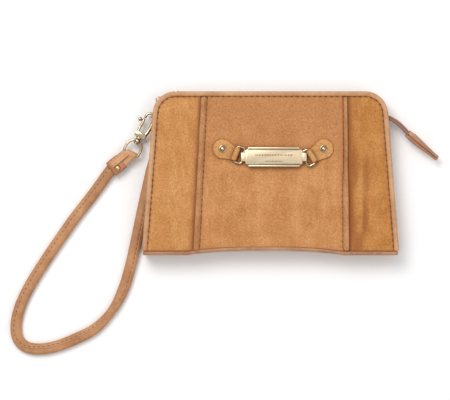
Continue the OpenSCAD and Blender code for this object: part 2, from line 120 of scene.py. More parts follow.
def stations_along(points, up=UP, closed=False):
    """Centre, across and up directions at each point; across is to the left of the way along."""
    last = len(points) - 1
    found = []
    for i, centre in enumerate(points):
        before = points[i - 1] if i > 0 or closed else points[0]
        after = points[(i + 1) % (last + 1)] if i < last or closed else points[last]
        along = (after - before).normalized()
        across = up.cross(along).normalized()
        found.append((centre, across, along.cross(across)))
    return found


def sweep(bm, stations, section, closed=False):
    """Extrudes a ring of edges through the stations; section(i) lists its (across, up) points."""
    def placed(i):
        centre, across, up = stations[i]
        return [centre + across * u + up * w for u, w in section(i)]

    ring = [bm.verts.new(p) for p in placed(0)]
    count = len(ring)
    edges = [bm.edges.new((ring[k - 1], ring[k])) for k in range(count)]
    first = list(ring)
    order = list(range(1, len(stations))) + ([0] if closed else [])
    for i in order:
        out = bmesh.ops.extrude_edge_only(bm, edges=edges)
        fresh = {v for v in out["geom"] if isinstance(v, bmesh.types.BMVert)}
        ring = [next(e.other_vert(v) for e in v.link_edges if e.other_vert(v) in fresh) for v in ring]
        for vert, point in zip(ring, placed(i)):
            vert.co = point
        edges = [bm.edges.get((ring[k - 1], ring[k])) for k in range(count)]
    if closed:
        bmesh.ops.remove_doubles(bm, verts=first + ring, dist=1e-4)
    else:
        bm.faces.new(first)
        bm.faces.new(ring)


def make_piece(name, bm, material, body, replaces=(), place=None, turn_out=True,
               thickness=0, smooth_levels=0):
    """Finishes a mesh drawn in millimetres as a piece of the wallet that rides on a CAD body."""
    if turn_out:
        bmesh.ops.recalc_face_normals(bm, faces=bm.faces)
    bmesh.ops.scale(bm, vec=(MM, MM, MM), verts=bm.verts)
    if place is not None:
        bmesh.ops.transform(bm, matrix=place, verts=bm.verts)
    mesh = bpy.data.meshes.new(name)
    bm.to_mesh(mesh)
    bm.free()
    mesh.shade_smooth()
    mesh.materials.append(material)
    piece = bpy.data.objects.new(name, mesh)
    bpy.context.scene.collection.objects.link(piece)
    if thickness:
        wall = piece.modifiers.new("thickness", "SOLIDIFY")
        wall.thickness = thickness * MM
        wall.offset = -1
        wall.use_even_offset = True
    if smooth_levels:
        rounded = piece.modifiers.new("rounded", "SUBSURF")
        rounded.levels = smooth_levels
        rounded.render_levels = smooth_levels
    if body is not None:
        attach(piece, body)
    if replaces:
        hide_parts(*replaces)
    return piece


def stitch_row(bm, stations, pitch, length, radius):
    """A row of separate stitches, each a small plump thread, at an even pitch along the stations."""
    walked = 0.0
    due = pitch / 2
    for (start, across, up), (end, _, _) in zip(stations, stations[1:]):
        leg = (end - start).length
        while due <= walked + leg:
            centre = start.lerp(end, (due - walked) / leg)
            along = (end - start).normalized()
            axes = Matrix((along * length / 2, across * radius, up * radius * 0.8)).transposed()
            bmesh.ops.create_uvsphere(bm, u_segments=6, v_segments=4, radius=1,
                                      matrix=Matrix.Translation(centre) @ axes.to_4x4())
            due += pitch
        walked += leg


def linear(code):
    """Turns an sRGB hex colour into the linear values that a shader takes."""
    parts = [int(code[i:i + 2], 16) / 255 for i in (1, 3, 5)]
    return [p / 12.92 if p <= 0.04045 else ((p + 0.055) / 1.055) ** 2.4 for p in parts] + [1]


def add_node(material, kind, inputs=None, **settings):
    """Adds a shader node with its settings; inputs gives each socket a value or a linked output."""
    node = material.node_tree.nodes.new("ShaderNode" + kind)
    for name, value in settings.items():
        setattr(node, name, value)
    for socket, value in (inputs or {}).items():
        if isinstance(value, bpy.types.NodeSocket):
            material.node_tree.links.new(value, node.inputs[socket])
        else:
            node.inputs[socket].default_value = value
    return node


def new_finish(name, values):
    """A new material, its main shader with the values given for its sockets, and the coordinates
    that its patterns lie in."""
    material = bpy.data.materials.new(name)
    material.use_nodes = True
    shader = material.node_tree.nodes["Principled BSDF"]
    for socket, value in values.items():
        shader.inputs[socket].default_value = value
    return material, shader, add_node(material, "TexCoord").outputs["Object"]


def link_finish(material, shader, outputs):
    """Links what other nodes work out to the main shader's sockets, and returns the material."""
    for socket, output in outputs.items():
        material.node_tree.links.new(output, shader.inputs[socket])
    return material


def lumps(material, place, size, detail, rough=0.5):
    """Noise whose lumps are that many millimetres across."""
    return add_node(material, "TexNoise", {"Vector": place, "Scale": 1 / (size * MM), "Detail": detail,
                                           "Roughness": rough}).outputs[0]


def ramp(material, value, source=(0.0, 1.0), target=(0.0, 1.0)):
    """Carries a value from its source range to the target range."""
    return add_node(material, "MapRange", {"Value": value, "From Min": source[0], "From Max": source[1],
                                           "To Min": target[0], "To Max": target[1]}).outputs[0]


def tint(material, share, first, second):
    """Mixes two colours by share; each is a hex colour or the output of another node."""
    first, second = (linear(c) if isinstance(c, str) else c for c in (first, second))
    return add_node(material, "Mix", {0: share, 6: first, 7: second}, data_type="RGBA").outputs[2]


def painted_shade_in_hollows(material, reach, source, most):
    """Painted shade: how far a point lies in a hollow that is about reach millimetres deep, found by
    ambient occlusion.
    """
    shade = add_node(material, "AmbientOcclusion", {"Distance": reach * MM}, samples=8)
    return ramp(material, shade.outputs["AO"], source, (most, 0.0))


def relief(material, height, strength, depth):
    """A fine relief, depth millimetres deep."""
    return add_node(material, "Bump", {"Strength": strength, "Distance": depth * MM,
                                       "Height": height}).outputs[0]


def smooth_leather(name, base, light, dark):
    """Smooth cowhide with a clear satin dressing: fine pebbled grain, soft cloudy colour, dull gloss and a
    browner painted shade in its hollows, found by ambient occlusion."""
    material, shader, place = new_finish(name, {"IOR": 1.5, "Specular IOR Level": 0.35,
                                                "Sheen Weight": 0.05, "Sheen Roughness": 0.4})
    cloudy = ramp(material, lumps(material, place, 14, 3.0), (0.35, 0.65))
    wear_and_painted_shade = lumps(material, place, 3.5, 5.0)
    worn = ramp(material, wear_and_painted_shade, (0.45, 0.75), (0.0, 0.6))
    finish = tint(material, worn, tint(material, cloudy, base, dark), light)
    pebbles = add_node(material, "TexVoronoi", {"Vector": place, "Scale": 1 / (0.9 * MM)})
    grain = add_node(material, "Math", {0: pebbles.outputs[0], 1: lumps(material, place, 0.5, 3.0)},
                     operation="ADD")
    # Painted shade: the base colour turns browner where ambient occlusion finds a hollow.
    crease = painted_shade_in_hollows(material, 1.8, (0.3, 0.85), 0.7)
    return link_finish(material, shader, {
        "Base Color": tint(material, crease, finish, "#7E4B30"),
        "Roughness": ramp(material, wear_and_painted_shade, target=(0.42, 0.62)),
        "Normal": relief(material, grain.outputs[0], 0.22, 0.25)})


def waxed_thread(name, colour):
    """Waxed polyester sewing thread: two plies that twist, dark and slightly shiny."""
    material, shader, place = new_finish(name, {"Base Color": linear(colour), "Roughness": 0.55,
                                                "IOR": 1.5})
    ply = lumps(material, place, 0.5, 2.0)
    return link_finish(material, shader, {"Normal": relief(material, ply, 0.4, 0.1)})


def bell(t, centre, width):
    """1 at the centre, falling to nothing a few widths away."""
    return exp(-((t - centre) / width) ** 2)


def eased(t, start, end):
    """0 before start and 1 after end, with a soft step between."""
    s = max(0.0, min(1.0, (t - start) / (end - start)))
    return s * s * (3 - 2 * s)


def strap_seam(t):
    """How far across the strap its seam lies; the strap rolls over at the twist and back again."""
    rolled = eased(t, twist_at - 0.04, twist_at + 0.05) - eased(t, bend_at - 0.04, bend_at + 0.08)
    return stitch_outer + (stitch_inner - stitch_outer) * rolled


def strap_top(t, u, half_w, half_t):
    """Height of the strap's upper face at u across it, with the seam's groove and the folded edge."""
    seam = strap_seam(t)
    shape = half_t * (1 - min(1, abs(u) / half_w) ** 2.6) ** (1 / 2.6)
    groove = 0.4 * bell(u, seam, 0.35)
    fold_edge = 0.28 if u < seam + 1.4 else -0.28
    ripple = 0.28 * sin(2 * pi * t * strap_length / wrinkle_pitch)
    wrinkle = ripple * bell(t, bend_at - 0.03, 0.05) * (0.5 - u / 9)
    return shape * (1 + fold_edge / half_t * (1 - (u / half_w) ** 2)) - groove + wrinkle


def strap_section(t):
    """The strap's ring at share t of its length: flat below, seamed above, narrower at the twist."""
    half_w = strap_half_w * (1 - 0.2 * bell(t, twist_at + 0.01, 0.035) - 0.2 * (1 - eased(t, 0, 0.03)))
    half_t = strap_half_t * (1 + 0.1 * bell(t, twist_at + 0.01, 0.04))
    seam = strap_seam(t)
    above = [seam + 1.5 + (half_w * 0.97 - seam - 1.5) * k / 3 for k in (3, 2, 1, 0)]
    above += [seam + 1.3, seam + 0.5, seam, seam - 0.5]
    above += [seam - 1.1 - (half_w * 0.97 + seam - 1.1) * k / 4 for k in range(5)]
    ring = [(u, strap_top(t, u, half_w, half_t)) for u in above]
    for k in range(9):
        c, s = cos(pi + pi * k / 8), sin(pi + pi * k / 8)
        ring.append((half_w * abs(c) ** belly * (1 if c > 0 else -1), -half_t * abs(s) ** belly))
    return ring


tan_strap = smooth_leather("satin_tan_cowhide_strap", "#BD895F", "#CF9F72", "#A9744C")
brown_thread = waxed_thread("waxed_brown_thread", "#5E3A1E")
strap_path = smooth_route([Vector(p) / MM for p in strap_route], strap_steps)
strap_length = sum((b - a).length for a, b in zip(strap_path, strap_path[1:])) * MM
strap_stations = stations_along(strap_path)
strap_legs = len(strap_path) - 1
bm = bmesh.new()
sweep(bm, strap_stations, lambda i: strap_section(i / strap_legs))
wrist_strap = make_piece("wrist_strap", bm, tan_strap, "shell", ["strap"],
                         smooth_levels=1)

bm = bmesh.new()
seam_stations = []
for i, (centre, across, up) in enumerate(strap_stations):
    t = i / strap_legs
    u = strap_seam(t)
    height = strap_top(t, u, strap_half_w, strap_half_t) + 0.12
    seam_stations.append((centre + across * u + up * height, across, up))
stitch_row(bm, seam_stations[6:-8], 3.8, 2.3, 0.3)
make_piece("strap_stitches", bm, brown_thread, "shell")

# The sewn end of the strap: a short doubled tab, caught in the gusset's mouth.
def slab(bm, points, low, high, edge, segments=2):
    """A flat plate of that outline from low to high, its rims rounded by edge."""
    base = bm.faces.new([bm.verts.new((x, y, low)) for x, y in points])
    raised = bmesh.ops.extrude_face_region(bm, geom=[base])["geom"]
    top = next(g for g in raised if isinstance(g, bmesh.types.BMFace))
    bmesh.ops.translate(bm, vec=(0, 0, high - low), verts=top.verts)
    rims = list(base.edges) + list(top.edges)
    bmesh.ops.bevel(bm, geom=rims, offset=edge, segments=segments, profile=0.5,
                    affect="EDGES", material=-1)


def rectangle(left, bottom, right, top):
    """A rectangle's corners, anticlockwise."""
    return [(left, bottom), (right, bottom), (right, top), (left, top)]


def box_of(node):
    """The low and high corners of a CAD node, in millimetres."""
    return [Vector(corner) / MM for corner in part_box(node)]


low, high = box_of("strap_anchor")
bm = bmesh.new()
slab(bm, rectangle(low.x + 0.6, low.y - 2, high.x, high.y), low.z, high.z, 1.2, 3)
make_piece("strap_sewn_end", bm, tan_strap, "shell", ["strap_anchor"])

# ---------------------------------------------------------------------------------------------
# Back of the wallet: a suede panel over a fibre board, edged all round with smooth leather that
# is turned over and sewn down, and lined inside.
bottom_w = 199
top_w = 180
body_h = 127
corner_r = 18
bottom_y = -body_h / 2
edge_w = 4.2
suede_t = 0.9
stitch_pitch = 4.4
stitch_len = 1.75
stitch_r = 0.32
draw_up = 3.2
tuck_middle = 4
tuck_reach = 60
side_slope = (bottom_w - top_w) / 2 / body_h
side_angle = atan(side_slope)
corner_y = body_h - corner_r
corner_x = bottom_w / 2 - side_slope * corner_y - corner_r / cos(side_angle)


def half_width(y):
    """Half the panel's width at a height above its bottom edge."""
    return bottom_w / 2 - side_slope * y


def drawn_up(x):
    """How far the tucks draw the bottom edge up at x: most in the middle, nothing past them."""
    return draw_up * max(0.0, 1 - abs((x + tuck_middle) / tuck_reach) ** 3)


def drawn_up_at(x, y):
    """How far they draw the sheet up at a height y above that edge."""
    return drawn_up(x) * exp(-y / 14)


def corner_points(inset, steps):
    """The two top corners at that inset, right then left, anticlockwise."""
    r = corner_r - inset
    sweep_angle = pi / 2 - side_angle
    turns = [side_angle + sweep_angle * k / steps for k in range(steps + 1)]
    right = [Vector((corner_x + r * cos(a), corner_y + r * sin(a), 0)) for a in turns]
    left = [Vector((-p.x, p.y, 0)) for p in reversed(right)]
    return right, left


def edge_route(inset, low):
    """Up the right side from low, round both corners and down the left side, as dense points."""
    right, left = corner_points(inset, 12)
    start = Vector((half_width(low) - inset / cos(side_angle), low, 0))
    rise = [start.lerp(right[0], k / 44) for k in range(44)]
    top = [right[-1].lerp(left[0], k / 50) for k in range(1, 50)]
    end = Vector((-start.x, low, 0))
    fall = [left[-1].lerp(end, k / 44) for k in range(1, 45)]
    return rise + right + top + left + fall


def outline(inset, low):
    """The panel's convex outline with only the points it needs, anticlockwise."""
    x = half_width(low) - inset / cos(side_angle)
    right, left = corner_points(inset, 8)
    return [Vector((-x, low, 0)), Vector((x, low, 0))] + right + left


def cut_sheet(bm, corners, step):
    """A fine flat grid cut to a convex outline, whose corners are given anticlockwise."""
    xs = [p.x for p in corners]
    ys = [p.y for p in corners]
    wide, high = max(xs) - min(xs) + 2, max(ys) - min(ys) + 2
    middle = Vector(((max(xs) + min(xs)) / 2, (max(ys) + min(ys)) / 2, 0))
    bmesh.ops.create_grid(bm, x_segments=round(wide / step), y_segments=round(high / step), size=0.5,
                          matrix=Matrix.Translation(middle) @ Matrix.Diagonal((wide, high, 1, 1)))
    for a, b in zip(corners, corners[1:] + corners[:1]):
        way = b - a
        if way.length > 1e-6:
            bmesh.ops.bisect_plane(bm, geom=bm.verts[:] + bm.edges[:] + bm.faces[:], dist=1e-4,
                                   plane_co=a, plane_no=(way.y, -way.x, 0), clear_outer=True)
    bmesh.ops.remove_doubles(bm, verts=bm.verts, dist=0.02)


def edge_distance(x, y, corners):
    """How far a point lies inside a convex outline."""
    nearest = 1e9
    for a, b in zip(corners, corners[1:] + corners[:1]):
        way = b - a
        if way.length > 1e-6:
            nearest = min(nearest, (way.x * (y - a.y) - way.y * (x - a.x)) / way.length)
    return max(0.0, nearest)


def make_sheet(name, bm, material, body, replaced, place=None, thickness=suede_t):
    """Finishes a sheet: its face is drawn, and its thickness goes in behind it."""
    return make_piece(name, bm, material, body, [replaced], place, turn_out=False,
                      thickness=thickness, smooth_levels=1)


def drift(x, y, size, seed):
    """Slow hand-made unevenness, from -1 to 1, with lumps of that size."""
    return noise.noise(Vector((x / size, y / size, seed)))


def napped_suede(name, base, worn, deep, top_tint=None):
    """Suede: a short dense nap that scatters light, so it is quite dull, with brushed patches, faint
    upright strokes, a fine speckle and a redder painted shade in its hollows, found by ambient occlusion. A
    mesh can carry a crease attribute that marks more places of painted shade; top_tint is the colour nearer
    the zip."""
    material, shader, place = new_finish(name, {"Roughness": 0.95, "IOR": 1.45,
                                                "Specular IOR Level": 0.15, "Sheen Weight": 0.25,
                                                "Sheen Roughness": 0.5,
                                                "Sheen Tint": linear("#F2D2AE")})
    patch = ramp(material, lumps(material, place, 19, 4.0, 0.6), (0.36, 0.66))
    upright = add_node(material, "Mapping", {"Vector": place, "Scale": (1.0, 0.28, 1.0)}).outputs[0]
    stroke = ramp(material, lumps(material, upright, 6, 5.0, 0.65), (0.42, 0.72), (0.0, 0.5))
    nap = lumps(material, place, 1.3, 3.0, 0.85)
    colour = tint(material, stroke, tint(material, patch, base, deep), worn)
    if top_tint:
        axes = add_node(material, "SeparateXYZ", {"Vector": place})
        high = ramp(material, axes.outputs["Y"], (5 * MM, 45 * MM), (0.0, 0.7))
        colour = tint(material, high, colour, top_tint)
    speck = ramp(material, nap, (0.3, 0.7), (0.68, 1.28))
    speckled = add_node(material, "VectorMath", {0: colour, "Scale": speck}, operation="SCALE")
    # Painted shade: the colour turns redder where ambient occlusion finds a hollow or where the mesh's
    # crease attribute marks painted shade.
    painted_shade_marks = add_node(material, "Attribute", attribute_name="crease")
    crease = add_node(material, "Math", {0: painted_shade_in_hollows(material, 5, (0.4, 0.95), 0.9),
                                         1: painted_shade_marks.outputs["Fac"]}, operation="MAXIMUM")
    return link_finish(material, shader, {
        "Base Color": tint(material, crease.outputs[0], speckled.outputs[0], "#8A4E2C"),
        "Normal": relief(material, nap, 0.5, 0.35)})


def pressed_board(name):
    """Pressed fibre board: grey-brown, matte, with short fibres."""
    material, shader, place = new_finish(name, {"Roughness": 0.9, "IOR": 1.45})
    fibres = lumps(material, place, 1.2, 4.0)
    return link_finish(material, shader, {"Base Color": tint(material, fibres, "#A39A8A", "#BEB5A4")})


def woven_cloth(name, warp_colour, weft_colour, pitch):
    """Plain-woven polyester: threads cross at an even pitch, which is drawn coarse enough to show."""
    material, shader, place = new_finish(name, {"Roughness": 0.85, "IOR": 1.5, "Sheen Weight": 0.15})
    bands = [add_node(material, "TexWave", {"Vector": place, "Scale": 2 * pi / (20 * pitch * MM),
                                            "Distortion": 0.0}, bands_direction=axis).outputs[1]
             for axis in "XYZ"]
    weave = bands[0]
    for band in bands[1:]:
        weave = add_node(material, "Math", {0: weave, 1: band}, operation="MAXIMUM").outputs[0]
    return link_finish(material, shader, {
        "Base Color": tint(material, weave, weft_colour, warp_colour),
        "Normal": relief(material, weave, 0.35, 0.2)})


def finish_node(node, material):
    """Gives a CAD node its finish."""
    slots = frame["nodes"][node].data.materials
    slots.clear()
    slots.append(material)


def edge_section(half, thick):
    """Smooth leather turned over an edge: rounded outside, thin where the stitches pull it down."""
    return [(-half, -0.2 * thick), (-half * 0.86, 0.28 * thick), (-half * 0.45, 0.5 * thick),
            (half * 0.1, 0.46 * thick), (half * 0.62, 0.22 * thick), (half * 0.95, -0.05 * thick),
            (half, -0.5 * thick), (0, -0.5 * thick), (-half * 0.8, -0.5 * thick)]


side_suede = napped_suede("napped_tan_suede_sides", "#C68B55", "#D3A069", "#B67B43")
right_suede = napped_suede("napped_ochre_suede_right", "#C0834A", "#CE985C", "#AD7138")
back_suede = napped_suede("napped_tan_suede_back", "#C18754", "#CF9B67", "#AE7442")
edge_leather = smooth_leather("satin_tan_cowhide_edge", "#CA9A6E", "#D6AD86", "#B68259")
board = pressed_board("grey_fibre_board")
BACK = Matrix.Translation((0, bottom_y * MM, 0))

bm = bmesh.new()
back_outline = outline(edge_w - 0.8, edge_w - 0.8)
cut_sheet(bm, back_outline, 4)
for v in bm.verts:
    v.co.z = 1.5 - 0.25 * (1 - exp(-edge_distance(v.co.x, v.co.y, back_outline) / 5))
    v.co.y += drawn_up_at(v.co.x, v.co.y)
make_sheet("back_suede_panel", bm, back_suede, "shell", "back_panel", BACK)

bm = bmesh.new()
back_route = edge_route(edge_w / 2, edge_w / 2)
floor_side = [back_route[-1].lerp(back_route[0], k / 60) for k in range(1, 60)]
back_seam_line = [p + Vector((0, drawn_up_at(p.x, p.y), 1.55)) for p in back_route + floor_side]
back_stations = stations_along(back_seam_line, closed=True)
sweep(bm, back_stations, lambda i: edge_section(edge_w / 2, 2.4), closed=True)
make_piece("back_edge_binding", bm, edge_leather, "shell", place=BACK)

bm = bmesh.new()
back_seam = stations_along([p + 2.3 * UP for p in edge_route(edge_w + 0.1, edge_w + 0.1)])
stitch_row(bm, back_seam, stitch_pitch, stitch_len, stitch_r)
make_piece("back_edge_stitches", bm, brown_thread, "shell", place=BACK)
finish_node("back_board", board)

# ---------------------------------------------------------------------------------------------
# Lining and card pockets: plain-woven cloth, glued to the boards, with three pockets of falling
# height on the back, each with a turned hem along its mouth.
lining_cloth = woven_cloth("plain_woven_brown_lining", "#8E6E54", "#6F523C", 0.6)
lining_inset = 6.8
lining_t = 0.45
pocket_t = 0.4


def round_section(r, sides=12, half_h=None):
    """A round wire's ring, or an oval one when half its height is given."""
    turns = [2 * pi * k / sides for k in range(sides)]
    return [(r * cos(a), (half_h or r) * sin(a)) for a in turns]


def flat(pairs):
    """Points on the ground plane."""
    return [Vector((x, y, 0)) for x, y in pairs]


def lining_sheet(name, body, replaced, low, depth, place, seed):
    """A lining sheet that ripples a little between its glued edges."""
    edge = outline(lining_inset, low)
    sheet_bm = bmesh.new()
    cut_sheet(sheet_bm, edge, 4)
    for v in sheet_bm.verts:
        inner = min(1, edge_distance(v.co.x, v.co.y, edge) / 10)
        v.co.z = depth + 0.2 * inner * drift(v.co.x, v.co.y, 16, seed)
    make_sheet(name, sheet_bm, lining_cloth, body, replaced, place, lining_t)


lining_sheet("back_lining_cloth", "shell", "back_lining", lining_inset, 2.95, BACK, 3.1)

for layer, node in enumerate(("card_pocket_rear", "card_pocket_middle", "card_pocket_front")):
    low, high = box_of(node)
    bm = bmesh.new()
    corners = flat(rectangle(low.x, low.y, high.x, high.y))
    cut_sheet(bm, corners, 4)
    for v in bm.verts:
        slack = min(1, edge_distance(v.co.x, v.co.y, corners) / 12)
        v.co.z = high.z - 0.05 + 0.22 * slack * drift(v.co.x, v.co.y, 22, layer)
    hem = stations_along([Vector((low.x + (high.x - low.x) * k / 24, high.y - 0.6, high.z - 0.1))
                          for k in range(25)])
    make_sheet(node + "_cloth", bm, lining_cloth, "shell", node, thickness=pocket_t)
    bm = bmesh.new()
    sweep(bm, hem, lambda i: round_section(0.9, 8, 0.42))
    make_piece(node + "_hem", bm, lining_cloth, "shell", smooth_levels=1)

# ---------------------------------------------------------------------------------------------
# Bottom gusset: smooth leather that rises from the back panel and turns in under the front, so a
# soft lip shows below the front's seam. Between the two pleats the lip is drawn up a little.
gusset_leather = smooth_leather("satin_tan_cowhide_gusset", "#C08E69", "#D0A27D", "#A97552")
lip_low, lip_high = box_of("bottom_gusset")
lip_r = 2.9
lip_wall = 1.2
lip_points = 72


def lip_section(i):
    """The gusset's cut: an upright wall whose top rolls over towards the front's seam."""
    x = lip_low.x + (lip_high.x - lip_low.x) * i / lip_points
    full = 1 + 0.05 * drift(x, 0, 9, 5.5)
    turns = [pi - (pi * 0.55) * k / 8 for k in range(9)]
    centre_w = lip_high.z - lip_r
    outer = [(lip_r * full * cos(a), centre_w + lip_r * sin(a)) for a in turns]
    inner_r = lip_r - lip_wall
    inner = [(inner_r * cos(a), centre_w + inner_r * sin(a)) for a in reversed(turns)]
    lower = [(-lip_r * full - 0.12 * sin(pi * w / 20), w) for w in (2.0, 6.0, 11.0, 16.0)]
    upper = [(-inner_r, w) for w in (16.0, 11.0, 6.0, 2.0)]
    return lower + outer + inner + upper


bm = bmesh.new()
lip_line = []
for i in range(lip_points + 1):
    x = lip_low.x + (lip_high.x - lip_low.x) * i / lip_points
    lip_line.append((Vector((x, lip_high.y + drawn_up(x), 0)), Vector((0, 1, 0)), UP))
sweep(bm, lip_line, lip_section)
make_piece("bottom_gusset_leather", bm, gusset_leather, "shell", ["bottom_gusset"],
           smooth_levels=1)

# ---------------------------------------------------------------------------------------------
# Side gussets: smooth leather folded inwards, sewn to both panels.
joints = {joint["name"]: joint for joint in frame["joints"]}
hinge_place = joints["front_open"]["pos_m"]
hinge_y, hinge_z = hinge_place[1] / MM, hinge_place[2] / MM
front_tilt = radians(3.2)
gusset_top = 45.2
gusset_low_z = 2.0
gusset_high_gap = 1.9
gusset_inset = 3.0
gusset_fold = 9.0


def side_gusset(name, side, replaced):
    """One folded side, as a sheet that bends between the shell and the front."""
    sheet_bm = bmesh.new()
    across, up = 14, 44
    bmesh.ops.create_grid(sheet_bm, x_segments=across, y_segments=up, size=0.5,
                          matrix=Matrix.Translation((0.5, 0.5, 0)))
    for v in sheet_bm.verts:
        share, rise = v.co.x, v.co.y
        y = hinge_y + 0.6 + (gusset_top - hinge_y - 0.6) * rise
        top = hinge_z - gusset_high_gap - (y - hinge_y) * tan(front_tilt)
        z = gusset_low_z + (top - gusset_low_z) * share
        inset = gusset_inset + gusset_fold * sin(pi * share) ** 0.8
        inset += 0.4 * drift(share * 6, rise * 20, 2, side)
        v.co = Vector((side * (half_width(y - bottom_y) - inset), y, z))
    piece = make_sheet(name, sheet_bm, gusset_leather, None, replaced)
    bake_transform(piece)


side_gusset("left_side_gusset", -1, "gusset_left")
side_gusset("right_side_gusset", 1, "gusset_right")

# ---------------------------------------------------------------------------------------------
# Front: three suede panels over a board. The middle panel is tucked at both sides, each tuck a
# soft fold that stands over the side panel, with one row of stitches beside it.
FRONT = Matrix.Translation(hinge_place) @ Matrix.Rotation(-front_tilt, 4, "X")
FROM_EDGE = FRONT @ Matrix.Translation((0, -3 * MM, 0))
seam_rise = 3
panel_top = body_h - seam_rise - edge_w
tuck_w = 4.6
tucked_under = 2.8
fold_pitch = 7.5
sheet_floor = -1.2
tuck_bottom = (-59.5, 60.5)
tuck_top = (-53.5, 59.3)
middle_suede = napped_suede("napped_tan_suede_middle", "#C68B59", "#D29D69", "#B37845", "#B47C51")
tuck_suede = napped_suede("brushed_brown_suede_tuck", "#BF895C", "#CD9C6C", "#A87148")
seam_brown = waxed_thread("waxed_red_brown_seam", "#8A5236")


def fold_x(side, y):
    """Where the free fold of a tuck lies, by height above the seam."""
    return tuck_bottom[side] + (tuck_top[side] - tuck_bottom[side]) * y / panel_top


def tuck_width(side, y):
    """Width of a tuck; the right one is tighter in its upper half."""
    return tuck_w * (1 - 0.35 * side * eased(y, 40, 75))


def side_panel(name, side, replaced):
    """A side panel: soft, full in the middle, with faint upright folds near its tuck."""
    sign = (-1, 1)[side]
    edge = [p - Vector((0, seam_rise, 0)) for p in outline(edge_w - 0.3, seam_rise)]
    sheet_bm = bmesh.new()
    cut_sheet(sheet_bm, edge, 2.2)
    low_x = fold_x(side, 0) - sign * tucked_under
    run = fold_x(side, panel_top) - fold_x(side, 0)
    bmesh.ops.bisect_plane(sheet_bm, geom=sheet_bm.verts[:] + sheet_bm.edges[:] + sheet_bm.faces[:],
                           dist=1e-4, plane_co=(low_x, 0, 0), clear_outer=True,
                           plane_no=(-sign * panel_top, sign * run, 0))
    painted_shade_mark = sheet_bm.verts.layers.float.new("crease")
    for v in sheet_bm.verts:
        x, y = v.co.x, v.co.y
        near_tuck = max(0.0, sign * (x - fold_x(side, y)))
        inside = min(edge_distance(x, y, edge), near_tuck + 1.5)
        puff = 0.9 * (1 - exp(-inside / 5)) - 0.95
        wave = 0.5 * sin(near_tuck * 2 * pi / fold_pitch + 0.8 * drift(x, y, 30, 2))
        folds = wave * exp(-near_tuck / 16) * side
        hollow = bell(near_tuck, 0, 4.5)
        v.co.z = max(sheet_floor, puff + folds - hollow + 0.3 * drift(x, y, 26, 7 + side))
        # Painted shade, stored in the crease attribute: a dark band along the tuck's fold and, on the right
        # panel only, dark streaks beside the tuck that fade towards the top.
        painted_shade_streak = eased(drift(x, y * 0.22, 5.5, 3.3), 0.0, 0.45) * bell(near_tuck, 11, 8) * side
        wear_and_painted_shade = 0.85 * bell(near_tuck, 0, 2.0 + 1.8 * side)
        v[painted_shade_mark] = wear_and_painted_shade + 0.7 * painted_shade_streak * eased(y, 100, 60)
    make_sheet(name, sheet_bm, (side_suede, right_suede)[side], "front", replaced, FRONT)


side_panel("left_side_suede", 0, "front_panel_left")
side_panel("right_side_suede", 1, "front_panel_right")

bm = bmesh.new()
left_low, left_high = (fold_x(0, y) + tuck_w - 0.5 for y in (0, panel_top))
right_low = fold_x(1, 0) - tuck_w + 0.5
right_high = fold_x(1, panel_top) - tuck_width(1, panel_top) + 0.5
middle_edge = flat([(left_low, 0), (right_low, 0), (right_high, panel_top + 0.3),
                    (left_high, panel_top + 0.3)])
cut_sheet(bm, middle_edge, 2)
for v in bm.verts:
    x, y = v.co.x, v.co.y
    inside = edge_distance(x, y, middle_edge)
    crease = 0.45 * bell(y, 9 + 1.2 * drift(x, 0, 30, 1), 2.2) * (1 - abs(x / 70) ** 2)
    v.co.z = 0.85 * (1 - exp(-inside / 4)) - 0.55 - crease + 0.2 * drift(x, y, 30, 11)
    v.co.y += drawn_up_at(x, y)
make_sheet("middle_suede", bm, middle_suede, "front", "front_panel_centre", FRONT)


def tuck(name, side, replaced):
    """A tuck: the leather doubles over itself, full at the fold and pulled down at its stitches,
    which make a row of their own beside it."""
    sign = (-1, 1)[side]
    count = 60
    centres = []
    for i in range(count + 1):
        y = 0.2 + (panel_top - 0.4) * i / count
        centres.append((Vector((fold_x(side, y), y, 0)), Vector((-sign, 0, 0)), UP))

    def section(i):
        y = 0.2 + (panel_top - 0.4) * i / count
        w = tuck_width(side, y)
        full = 1 + 0.14 * drift(side * 40, y, 11, 4)
        ends = 1 - 0.5 * exp(-y / 1.6) - 0.35 * exp(-(panel_top - y) / 1.6)
        crest = 1.95 * full * ends
        lean = 0.35 * drift(side * 9, y, 17, 8)
        return [(0.5 + lean, -0.75), (-0.1 + lean, -0.1), (0.0 + lean, 0.55 * crest),
                (0.5 + lean, 0.92 * crest), (1.3 + lean * 0.5, crest), (w * 0.5, 0.93 * crest),
                (w * 0.72, 0.72 * crest), (w * 0.9, 0.3 * crest), (w + 0.1, -0.2), (w + 0.3, -0.75)]

    tuck_bm = bmesh.new()
    sweep(tuck_bm, centres, section)
    make_piece(name, tuck_bm, tuck_suede, "front", [replaced], FRONT, smooth_levels=1)
    row = []
    for i in range(count + 1):
        y = 1 + (panel_top - 2) * i / count
        x = fold_x(side, y) - sign * (tuck_width(side, y) + 0.1)
        row.append(Vector((x, y + drawn_up_at(x, y), 0.02)))
    row_bm = bmesh.new()
    stitch_row(row_bm, stations_along(row), stitch_pitch, 1.7, 0.25)
    make_piece(name + "_stitches", row_bm, brown_thread, "front", place=FRONT)


tuck("left_tuck", 0, "pleat_left")
tuck("right_tuck", 1, "pleat_right")

bm = bmesh.new()
front_route = stations_along([p - 0.35 * UP for p in edge_route(edge_w / 2, seam_rise)])
sweep(bm, front_route, lambda i: edge_section(edge_w / 2 * (1 + 0.04 * drift(i, 0, 7, 1)), 2.3))
make_piece("front_edge_binding", bm, edge_leather, "front", ["front_edge_band"],
           FROM_EDGE, smooth_levels=1)

bm = bmesh.new()
front_seam = stations_along([p - 0.02 * UP for p in edge_route(edge_w + 0.1, seam_rise + 2)])
stitch_row(bm, front_seam, stitch_pitch, stitch_len, stitch_r)
make_piece("front_edge_stitches", bm, brown_thread, "front", place=FROM_EDGE)

